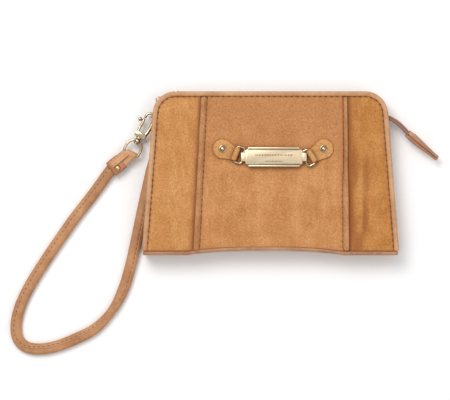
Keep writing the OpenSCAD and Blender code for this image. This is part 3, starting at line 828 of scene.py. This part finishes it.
bm = bmesh.new()
seam_xs = [-97.5 + 195 * i / 80 for i in range(81)]
seam_line = [Vector((x, drawn_up(x) - 0.1, -0.9)) for x in seam_xs]
sweep(bm, stations_along(seam_line), lambda i: round_section(0.55, 8))
make_piece("bottom_seam_cord", bm, seam_brown, "front", place=FRONT)

finish_node("front_board", board)
lining_sheet("front_lining_cloth", "front", "front_lining", seam_rise + 0.6, -2.5, FROM_EDGE, 8.2)

# ---------------------------------------------------------------------------------------------
# Nameplate: a stamped, pale gold plated plate with scooped corners, hung by two wire links from
# two suede tabs. Its lettering is replaced by two plain rows of punched lozenges.
plate_x, plate_y = 2.5, 72.5
plate_half_w, plate_half_h = 22, 7.6
plate_low, plate_high = 3.6, 5.0
scoop_r = 2.2
link_z = 2.7
stud_places = ((-37, 79), (41, 79))
tab_droop = (radians(-22), radians(212))
tab_len = 10.8


def pale_gold(name, base, rough):
    """Pale gold plating on die-cast zinc: polished, with fine hairlines, slightly dulled patches and a
    brown painted shade in its hollows, found by ambient occlusion."""
    material, shader, place = new_finish(name, {"Metallic": 1.0})
    brushed = add_node(material, "Mapping", {"Vector": place, "Scale": (0.12, 1.0, 1.0)}).outputs[0]
    hairs = lumps(material, brushed, 0.35, 3.0)
    touched = lumps(material, place, 5, 3.0)
    # Painted shade: the gold turns brown where ambient occlusion finds a hollow.
    painted_hollow_shade = painted_shade_in_hollows(material, 1.2, (0.35, 0.9), 0.8)
    return link_finish(material, shader, {
        "Base Color": tint(material, painted_hollow_shade, base, "#5A4630"),
        "Roughness": ramp(material, touched, target=(rough - 0.06, rough + 0.12)),
        "Normal": relief(material, hairs, 0.06, 0.05)})


def brown_paint(name, colour, size, gloss):
    """A thin brown paint or enamel, slightly uneven in its gloss."""
    material, shader, place = new_finish(name, {"Base Color": linear(colour)})
    cloud = lumps(material, place, size, 2.0)
    return link_finish(material, shader, {"Roughness": ramp(material, cloud, target=gloss)})


def arc_points(x, y, r, start, end, steps):
    """Points along an arc, with its angles in degrees."""
    turns = [radians(start + (end - start) * k / steps) for k in range(steps + 1)]
    return [(x + r * cos(a), y + r * sin(a)) for a in turns]


def lathe(bm, profile, matrix, steps=28):
    """Spins a profile of (radius, height) points round the upright axis, then puts it in place."""
    verts = [bm.verts.new((r, 0, z)) for r, z in profile]
    edges = [bm.edges.new(pair) for pair in zip(verts, verts[1:])]
    already = set(bm.verts) - set(verts)
    bmesh.ops.spin(bm, geom=verts + edges, cent=(0, 0, 0), axis=UP, dvec=(0, 0, 0), angle=2 * pi,
                   steps=steps, use_merge=True)
    turned = [v for v in bm.verts if v not in already]
    bmesh.ops.remove_doubles(bm, verts=turned, dist=1e-4)
    turned = [v for v in bm.verts if v not in already]
    bmesh.ops.transform(bm, matrix=matrix, verts=turned)


plate_gold = pale_gold("satin_pale_gold_plate", "#D6C2A2", 0.36)
wire_gold = pale_gold("polished_pale_gold_wire", "#C8B394", 0.16)
tab_suede = napped_suede("napped_tan_suede_tabs", "#CC975F", "#DAAC74", "#BC844C")
enamel = brown_paint("dark_brown_enamel", "#4A3624", 2, (0.3, 0.5))

bm = bmesh.new()
w, h = plate_half_w, plate_half_h
scooped = (arc_points(w, -h, scoop_r, 180, 90, 6) + arc_points(w, h, scoop_r, 270, 180, 6)
           + arc_points(-w, h, scoop_r, 360, 270, 6) + arc_points(-w, -h, scoop_r, 90, 0, 6))
slab(bm, [(plate_x + x, plate_y + y) for x, y in scooped], plate_low, plate_high, 0.3)
for x in (-1, 1):
    tongue = [(plate_x + x * (w - 1), plate_y - 3.5), (plate_x + x * (w + 3.3), plate_y - 3.3),
              (plate_x + x * (w + 3.3), plate_y + 3.3), (plate_x + x * (w - 1), plate_y + 3.5)]
    slab(bm, tongue, plate_low + 0.05, plate_high - 0.3, 0.3)
for y in (-1, 1):
    for rail, half_t, reach, top in ((h - 0.75, 0.6, w - scoop_r - 0.3, 5.45),
                                     (h - 2.15, 0.2, w - 1.6, 5.25)):
        rail_y = plate_y + y * rail
        bar = rectangle(plate_x - reach, rail_y - half_t, plate_x + reach, rail_y + half_t)
        slab(bm, bar, plate_high - 0.1, top, 0.2)
make_piece("nameplate_gold", bm, plate_gold, "plate", ["nameplate"], FRONT)

bm = bmesh.new()
for row_y, half_count, pitch, size in ((1.4, 11, 1.25, 0.95), (-3.4, 6, 1.05, 0.6)):
    for k in range(-half_count, half_count + 1):
        x, y = plate_x + k * pitch, plate_y + row_y
        tall = size if k % 2 else size * 0.7
        lozenge = [(x - 0.36, y), (x, y - tall), (x + 0.36, y), (x, y + tall)]
        slab(bm, lozenge, plate_high - 0.1, plate_high + 0.06, 0.03, 1)
for y in (-1, 1):
    line_y, reach = plate_y + y * (h - 1.65), w - 1.8
    line = rectangle(plate_x - reach, line_y - 0.22, plate_x + reach, line_y + 0.22)
    slab(bm, line, plate_high - 0.1, plate_high + 0.1, 0.03, 1)
make_piece("nameplate_enamel", bm, enamel, "plate", place=FRONT)
for node in ("nameplate_link_left", "nameplate_link_right", "stud_washers"):
    finish_node(node, wire_gold)

for side, name in enumerate(("left", "right")):
    x, y = stud_places[side]
    AT_TAB = FRONT @ Matrix.Translation((x * MM, y * MM, 0)) @ Matrix.Rotation(tab_droop[side], 4, "Z")
    bm = bmesh.new()
    teardrop = arc_points(0, 0, 7.5, 62, 298, 20) + [(tab_len - 0.5, -5.2), (tab_len - 0.5, 5.2)]
    slab(bm, teardrop, 0.15, 1.75, 0.55, 3)
    make_piece(name + "_nameplate_tab", bm, tab_suede, "front", ["nameplate_tab_" + name], AT_TAB)
    bm = bmesh.new()
    roll_line = [(Vector((tab_len, -5.2 + 10.4 * k / 8, link_z)), Vector((1, 0, 0)), UP) for k in range(9)]
    roll = arc_points(0, 0, 2.35, -115, 150, 12) + arc_points(0, 0, 1.5, 150, -115, 12)
    sweep(bm, roll_line, lambda i: roll)
    make_piece(name + "_tab_roll", bm, tab_suede, "front", place=AT_TAB)

bm = bmesh.new()
stud_dome = [(0, 2.2), (0.7, 2.12), (1.35, 1.8), (1.85, 1.3), (2.1, 0.75), (2.15, 0.45), (2.55, 0.42),
             (2.85, 0.3), (2.95, 0.1), (2.9, -0.1), (1.0, -0.15), (1.0, -3.6), (0, -3.6)]
for x, y in stud_places:
    lathe(bm, stud_dome, Matrix.Translation((x, y, 1.8)))
make_piece("nameplate_domed_studs", bm, wire_gold, "front", ["nameplate_studs"], FRONT)

# ---------------------------------------------------------------------------------------------
# Zip: two woven tapes with a row of gold teeth each, a slider parked at the left shoulder, and a
# slim pull with a loop at its end, which hangs round the shoulder.
tape_cloth = woven_cloth("woven_brown_zip_tape", "#9C6E58", "#7A5140", 0.5)
for node in ("zip_tape_back", "zip_tape_front"):
    finish_node(node, tape_cloth)
finish_node("zip_stops", wire_gold)
finish_node("zip_pull_pin", wire_gold)
zip_inset = 4.5
tape_t = 0.6
zip_y = body_h / 2 - zip_inset - tape_t / 2
zip_z = 8.5
zip_corner_r = corner_r - zip_inset - tape_t / 2
teeth_start = -64
tooth_pitch = 2.5
zip_straight = corner_x - teeth_start
tooth_count = int((zip_straight + zip_corner_r * (pi / 2 - side_angle)) / tooth_pitch)


def zip_place(s):
    """Where a tooth stands at distance s along the zip: straight first, then round the corner."""
    if s <= zip_straight:
        return Matrix.Translation((teeth_start + s, zip_y, 0))
    turn = (s - zip_straight) / zip_corner_r
    return (Matrix.Translation((corner_x, corner_y + bottom_y, 0)) @ Matrix.Rotation(-turn, 4, "Z")
            @ Matrix.Translation((0, zip_corner_r, 0)))


def teeth_row(name, body, replaced, offset, low_z, high_z):
    """One tape's teeth: small cast blocks with rounded heads, clamped on the tape's edge."""
    row_bm = bmesh.new()
    for i in range(tooth_count):
        place = zip_place(i * tooth_pitch + offset)
        middle = Matrix.Translation((0, 0, (low_z + high_z) / 2))
        block = bmesh.ops.create_cube(row_bm, size=1, matrix=place @ middle
                                      @ Matrix.Diagonal((1.15, 2.2, high_z - low_z, 1)))
        edges = {e for v in block["verts"] for e in v.link_edges}
        bmesh.ops.bevel(row_bm, geom=list(edges), offset=0.3, segments=1, profile=0.5,
                        affect="EDGES", material=-1)
    make_piece(name, row_bm, wire_gold, body, [replaced])


teeth_row("zip_teeth_back_row", "shell", "zip_teeth_back", 0.6, zip_z - 2.2, zip_z + 0.6)
teeth_row("zip_teeth_front_row", "front", "zip_teeth_front", 0.6 + tooth_pitch / 2, zip_z - 0.6,
          zip_z + 2.2)

slider_x = -69.5
slider_top = zip_y + 1.6
slider_low = zip_y - 2.6
shield = [(-4.5, -2.6), (-3.4, -3.6), (-0.5, -3.4), (2.2, -4.2), (4.0, -3.9), (4.5, -2.6),
          (4.5, 2.6), (4.0, 3.9), (2.2, 4.2), (-0.5, 3.4), (-3.4, 3.6), (-4.5, 2.6)]
pull_place = joints["pull_swing"]["pos_m"]
pull_x, pull_y, pull_z = (c / MM for c in pull_place)
bm = bmesh.new()
for low in (slider_low, slider_top):
    slab(bm, [(slider_x + x, zip_z + z) for x, z in shield], -low - 1, -low, 0.3)
bmesh.ops.transform(bm, matrix=Matrix.Rotation(pi / 2, 4, "X"), verts=bm.verts)
slab(bm, rectangle(slider_x - 4.4, slider_low + 0.5, slider_x - 2.7, slider_top + 0.5),
     zip_z - 0.8, zip_z + 0.8, 0.2)
cheek = [(pull_x - 2.4, slider_top + 0.8), (pull_x + 2.4, slider_top + 0.8)]
for low in (pull_z - 2.1, pull_z + 1.1):
    slab(bm, cheek + arc_points(pull_x, pull_y, 1.4, 10, 170, 8), low, low + 1, 0.25)
make_piece("zip_slider_gold", bm, wire_gold, "slider", ["zip_slider"])

bm = bmesh.new()
pull_len = 14.8
pull_loop_r = 2.3
slab(bm, [(1.3, -0.5), (pull_len - 2.0, -0.75), (pull_len - 2.0, 0.75), (1.3, 0.5)], -0.65, 0.65, 0.25)
for x, r, wire in ((0, 1.15, 0.36), (pull_len + 0.4, pull_loop_r, 0.6)):
    loop = stations_along(flat(arc_points(x, 0, r, 0, 330, 11)), closed=True)
    sweep(bm, loop, lambda i, wire=wire: round_section(wire, 10), closed=True)
PULL = Matrix.Translation(pull_place) @ Matrix.Rotation(radians(204), 4, "Z")
make_piece("zip_pull_gold", bm, wire_gold, "pull", ["zip_pull"], PULL, smooth_levels=1)

# ---------------------------------------------------------------------------------------------
# Zip tail: the tapes run out of the right shoulder as one folded strip, whose end is held in a
# folded leather tab with a rounded tip.
tail_leather = smooth_leather("satin_tan_cowhide_tail", "#BC8A69", "#D2A684", "#A57254")
tail_tape = woven_cloth("woven_pinkish_tail_tape", "#A9796A", "#86574A", 0.55)
tail_points = [(86.0, 44.5), (90.0, 43.6), (95.5, 41.3), (101.0, 37.4), (107.6, 30.4)]
tail_path = stations_along(smooth_route([(x, y, zip_z) for x, y in tail_points], 8))
back_half = [(-0.1, -3.6), (1.3, -3.6), (1.5, -3.2), (1.5, 3.3), (1.2, 3.8), (0.3, 3.8), (-0.1, 3.4)]
front_half = [(-1.5, -3.4), (-0.2, -3.4), (-0.2, 3.5), (-0.5, 4.0), (-1.2, 4.0), (-1.5, 3.5)]
bm = bmesh.new()
sweep(bm, tail_path, lambda i: back_half)
make_piece("tail_tape_cloth", bm, tape_cloth, "shell", ["zip_tail_tape"])
bm = bmesh.new()
sweep(bm, tail_path, lambda i: front_half)
make_piece("tail_tape_fold", bm, tail_tape, "shell")

TAIL = Matrix.Translation((107.2 * MM, 30.8 * MM, 0)) @ Matrix.Rotation(radians(-41), 4, "Z")
bm = bmesh.new()
tab_side = [(-0.5, -2.6), (5, -3.4), (13, -3.0), (21, -2.1), (28.8, -1.7)]
tab_outline = tab_side + arc_points(28.8, 0, 1.8, -70, 70, 8) + [(x, -y) for x, y in reversed(tab_side)]
slab(bm, tab_outline, 4.2, 8.2, 0.9, 3)
slab(bm, [(x * 0.99, y * 0.96) for x, y in tab_outline], 8.3, 10.6, 0.9, 3)
slab(bm, [(x * 0.96 + 0.6, y * 0.56 + 0.95) for x, y in tab_outline], 10.5, 12.7, 0.8, 3)
make_piece("tail_tab_leather", bm, tail_leather, "shell", ["zip_tail_tab"], TAIL)
bm = bmesh.new()
fold_line = [Vector((0.6 + 27 * k / 20, -0.85 + 0.45 * k / 20, 10.62)) for k in range(21)]
sweep(bm, stations_along(fold_line), lambda i: round_section(0.22, 6))
make_piece("tail_tab_fold_line", bm, brown_thread, "shell", place=TAIL)

# ---------------------------------------------------------------------------------------------
# D-ring at the left shoulder: gold wire, held in a small leather loop that is sewn into the gusset.
finish_node("d_ring", wire_gold)
bm = bmesh.new()
leg = [(3.7, 1.3), (2.0, 1.3), (0.6, 1.3)]
loop_line = leg + arc_points(0, 0, 1.3, 90, 270, 10) + [(x, -y) for x, y in reversed(leg)]
sweep(bm, stations_along(flat(loop_line)),
      lambda i: [(-0.38, -2.0), (0, -2.18), (0.38, -2.0), (0.38, 2.0), (0, 2.18), (-0.38, 2.0)])
make_piece("d_ring_leather_loop", bm, gusset_leather, "shell", ["d_ring_tab"],
           Matrix.Translation(joints["d_ring_swing"]["pos_m"]), smooth_levels=1)

# ---------------------------------------------------------------------------------------------
# Keeper: leather folded round the hook's eye and over the strap's end, with a second layer on
# its far side, a leather band wrapped round it and one domed rivet through everything.
keeper_leather = smooth_leather("satin_tan_cowhide_keeper", "#CD9A6D", "#DDB086", "#B98257")
band_leather = smooth_leather("satin_brown_cowhide_band", "#B37A58", "#C28F6F", "#9C6547")
eye_x, eye_y, eye_z = (c / MM for c in joints["eye_lift"]["pos_m"])
keeper_turn = radians(219)
hook_turn = radians(-28.3)
along_strap = Vector((cos(keeper_turn), sin(keeper_turn), 0))
across_strap = Vector((-along_strap.y, along_strap.x, 0))
across_eye = Vector((cos(hook_turn), sin(hook_turn), 0))
keeper_foot = Vector((eye_x, eye_y, 0))
KEEPER = Matrix.Translation(keeper_foot * MM) @ Matrix.Rotation(keeper_turn, 4, "Z")
keeper_path = [(15.9, 7.0), (12.0, 7.1), (8.0, 7.15), (5.0, 7.4), (2.6, 8.3)]
keeper_path += [(-p[0], eye_z + p[1]) for p in arc_points(0, 0, 2.25, 115, -115, 12)]
keeper_path += [(2.6, 4.0), (5.0, 2.5), (8.0, 2.1), (12.0, 2.1), (15.9, 2.1)]
keeper_stations = []
for i, (x, z) in enumerate(keeper_path):
    near_eye = 1 - eased(x, 0.5, 5)
    across = across_strap.lerp(across_eye, near_eye).normalized()
    before, after = keeper_path[max(0, i - 1)], keeper_path[min(len(keeper_path) - 1, i + 1)]
    way = (along_strap * (after[0] - before[0]) + UP * (after[1] - before[1])).normalized()
    keeper_stations.append((keeper_foot + along_strap * x + UP * z, across, way.cross(across).normalized()))


def keeper_section(i):
    """The keeper's cut across: 11 mm wide on the strap, a little narrower in the eye."""
    half = 4.7 + 0.8 * eased(keeper_path[i][0], 0.5, 6)
    return [(-half, -0.35), (-half + 0.4, -0.65), (half - 0.4, -0.65), (half, -0.35),
            (half, 0.35), (half - 0.4, 0.65), (-half + 0.4, 0.65), (-half, 0.35)]


bm = bmesh.new()
sweep(bm, keeper_stations, keeper_section)
make_piece("keeper_fold", bm, keeper_leather, "shell", ["strap_keeper"],
           smooth_levels=1)

layer_rise = [(1.6, 9.3), (3.2, 9.2), (5.0, 8.95), (7.0, 8.9), (9.0, 8.95), (12.0, 9.0),
              (15.0, 8.95), (17.0, 8.6), (18.2, 8.1)]
layer_line = [(Vector((x, -2.7, z)), Vector((0, 1, 0)), UP) for x, z in layer_rise]
layer_cut = [(-2.9, -0.4), (2.9, -0.4), (3.1, 0), (2.8, 0.42), (1.75, 0.5), (1.45, 0.12), (1.15, 0.52),
             (-0.5, 0.55), (-0.8, 0.15), (-1.1, 0.52), (-2.7, 0.42), (-3.0, 0)]
bm = bmesh.new()
sweep(bm, layer_line, lambda i: layer_cut)
make_piece("keeper_second_layer", bm, keeper_leather, "shell",
           place=KEEPER, smooth_levels=1)

# Dark brown lines along the second layer: the two at its edges are edge paint, and the one down its middle
# is painted shade standing in for a groove.
edge_paint_and_groove_shade = brown_paint("brown_edge_paint_and_groove_shade", "#84573A", 1.5, (0.4, 0.6))
bm = bmesh.new()
for y, rise in ((-2.95, 0.2), (0.25, 0.12), (-5.55, 0.1)):
    sweep(bm, [(c + Vector((0, y + 2.7, rise)), a, u) for c, a, u in layer_line],
          lambda i: round_section(0.2, 6))
make_piece("keeper_edge_paint_and_groove_shade", bm, edge_paint_and_groove_shade, "shell", place=KEEPER)

band_half_y, band_low, band_high, band_r = 6.05, 1.0, 8.35, 1.6
turn_y, turn_low, turn_high = band_half_y - band_r, band_low + band_r, band_high - band_r
band_path = []
for y, z, start in ((turn_y, turn_high, 0), (-turn_y, turn_high, 90),
                    (-turn_y, turn_low, 180), (turn_y, turn_low, 270)):
    band_path += [Vector((14.2, p[0], p[1])) for p in arc_points(y, z, band_r, start, start + 90, 4)]
band_cut = [(-0.4, -5.3), (0, -5.5), (0.4, -5.3), (0.42, 0), (0.4, 5.3), (0, 5.5), (-0.4, 5.3), (-0.4, 0)]
bm = bmesh.new()
sweep(bm, stations_along(band_path, up=Vector((1, 0, 0)), closed=True), lambda i: band_cut, closed=True)
make_piece("keeper_band", bm, band_leather, "shell", ["strap_wrap"],
           KEEPER, smooth_levels=1)

rivet_dome = [(0, 1.7), (0.8, 1.62), (1.5, 1.3), (2.0, 0.75), (2.2, 0.3), (2.3, 0), (1.0, -0.1),
              (1.0, -3.5), (0, -3.5)]
rivet_gold = pale_gold("polished_yellow_gold_rivet", "#E0BE72", 0.2)
bm = bmesh.new()
lathe(bm, rivet_dome, Matrix.Translation((14.6, 2.6, 8.75)))
make_piece("keeper_rivet", bm, rivet_gold, "shell", ["strap_rivet"], KEEPER)

bm = bmesh.new()
keeper_row = [Vector((2.5 + 14 * k / 10, -4.9, 9.32)) for k in range(11)]
stitch_row(bm, stations_along(keeper_row), 2.6, 1.6, 0.2)
make_piece("keeper_stitches", bm, brown_thread, "shell", place=KEEPER)

# ---------------------------------------------------------------------------------------------
# Swivel hook: die-cast zinc with pale gold plating. The eye turns on the hook's stem, and the
# sprung gate closes the hook's mouth and opens inwards by its thumb knob.
HOOK = Matrix.Translation(joints["hook_swivel"]["pos_m"]) @ Matrix.Rotation(hook_turn, 4, "Z")
HOOK_AXIS = Matrix.Rotation(-pi / 2, 4, "X")
bar_y, eye_half, arc_y = -12.5, 6.0, -7.2
bend_r = 1.4
bend_x, bend_y = eye_half - bend_r, bar_y + bend_r

eye_line = [(-3.0, bar_y), (0, bar_y), (3.0, bar_y)] + arc_points(bend_x, bend_y, bend_r, -90, 0, 4)
eye_line += [(eye_half + 0.1, arc_y - 1)] + arc_points(0, arc_y, eye_half, 0, 180, 18)
eye_line += [(-eye_half - 0.1, arc_y - 1)] + arc_points(-bend_x, bend_y, bend_r, 180, 270, 4)
eye_collar = [(1.3, -2.7), (2.0, -2.7), (2.45, -2.3), (2.6, -1.5), (2.6, -0.8), (2.4, -0.1),
              (1.9, 0.3), (1.3, 0.3), (1.3, -2.7)]
bm = bmesh.new()
sweep(bm, stations_along(flat(eye_line), closed=True), lambda i: round_section(1.1, 10), closed=True)
lathe(bm, eye_collar, HOOK_AXIS)
make_piece("hook_eye_gold", bm, wire_gold, "eye", ["hook_eye"], HOOK)

stem = [(0, -4.1), (1.2, -4.05), (1.9, -3.7), (2.0, -3.2), (1.8, -2.85), (1.15, -2.8), (1.15, 0.5),
        (2.2, 0.55), (2.45, 0.9), (2.45, 1.5), (2.2, 1.9), (1.8, 2.3), (0, 2.4)]
cheek = [(-4.5, 2.9), (-3.6, 1.7), (3.2, 1.7), (4.3, 2.8), (4.4, 5.2), (3.6, 6.0), (-3.4, 6.0), (-4.4, 5.4)]
limb = [(3.2, 4.2), (3.7, 7.0), (4.1, 10.0), (4.15, 13.0), (3.8, 16.5), (3.3, 19.4)]
limb_path = smooth_route(flat(limb), 4)
limb_path += flat(arc_points(0, 19.5, 3.25, 12, 180, 12) + [(-3.22, 18.8), (-3.2, 17.9), (-3.2, 17.3)])
limb_last = len(limb_path) - 1
bm = bmesh.new()
lathe(bm, stem, HOOK_AXIS)
for low in (-2.2, 1.3):
    slab(bm, cheek, low, low + 0.9, 0.3)
slab(bm, [(-4.2, 1.7), (3.9, 1.7), (4.2, 2.6), (-4.3, 2.6)], -2.0, 2.0, 0.3)
slab(bm, [(1.6, 2.2), (4.0, 2.2), (4.4, 3.2), (4.4, 5.6), (2.2, 5.6)], -1.7, 1.7, 0.4)
sweep(bm, stations_along(limb_path),
      lambda i: round_section(1.6 - 0.6 * i / limb_last if i < limb_last else 0.6))
make_piece("hook_body_gold", bm, wire_gold, "hook", ["hook_body"], HOOK)
for node in ("gate_pin", "gate_spring"):
    finish_node(node, wire_gold)

gate_shape = [(4.0, 0.9), (4.6, 1.3), (5.6, 1.25), (7.0, 1.15), (9.0, 1.1), (11.0, 1.1), (13.0, 1.1),
              (15.0, 1.15), (16.4, 1.05), (16.8, 0.5)]
knob = [(0, 4.4), (0.9, 4.25), (1.55, 3.75), (1.75, 3.0), (1.55, 2.3), (0.95, 1.8), (0.75, 1.5),
        (0.8, 0.4), (0, 0.3)]
bm = bmesh.new()
sweep(bm, stations_along(flat((-3.2, y) for y, _ in gate_shape)), lambda i: round_section(gate_shape[i][1]))
lathe(bm, knob, Matrix.Translation((-3.2, 15.0, 0)) @ Matrix.Rotation(-pi / 2, 4, "Y"), 20)
make_piece("hook_gate_gold", bm, wire_gold, "gate", ["hook_gate"], HOOK)

# ---------------------------------------------------------------------------------------------
# Studio: a pale floor, one large soft light above to the left, a weaker one to the right, and a
# surround that is white overhead and grey near the horizon, which draws the metal's dark lines.
bm = bmesh.new()
bmesh.ops.create_grid(bm, x_segments=8, y_segments=8, size=2000)
floor_paint = new_finish("matt_white_floor", {"Base Color": linear("#F7F7F7"), "Roughness": 0.9})[0]
floor = make_piece("floor", bm, floor_paint, None, turn_out=False)
floor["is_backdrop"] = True

for name, place, size, power in (("key_light", (-0.5, 0.8, 1.5), 0.9, 18.0),
                                 ("fill_light", (0.9, -0.3, 1.3), 1.2, 4.0)):
    light_data = bpy.data.lights.new(name, "AREA")
    light_data.size = size
    light_data.energy = power
    light = bpy.data.objects.new(name, light_data)
    light.location = place
    light.rotation_euler = (-Vector(place)).to_track_quat("-Z", "Y").to_euler()
    bpy.context.scene.collection.objects.link(light)

world = bpy.data.worlds.new("white_surround")
world.use_nodes = True
surround = world.node_tree.nodes
sky_place, sky_axes, sky_height = (surround.new("ShaderNode" + kind)
                                   for kind in ("TexCoord", "SeparateXYZ", "MapRange"))
for socket, value in (("From Min", 0.05), ("From Max", 0.75), ("To Min", 0.12), ("To Max", 0.72)):
    sky_height.inputs[socket].default_value = value
world.node_tree.links.new(sky_place.outputs["Generated"], sky_axes.inputs[0])
world.node_tree.links.new(sky_axes.outputs["Z"], sky_height.inputs["Value"])
world.node_tree.links.new(sky_height.outputs[0], surround["Background"].inputs["Strength"])
surround["Background"].inputs["Color"].default_value = (1, 1, 1, 1)
bpy.context.scene.world = world
bpy.context.scene.view_settings.view_transform = "Standard"

low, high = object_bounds()
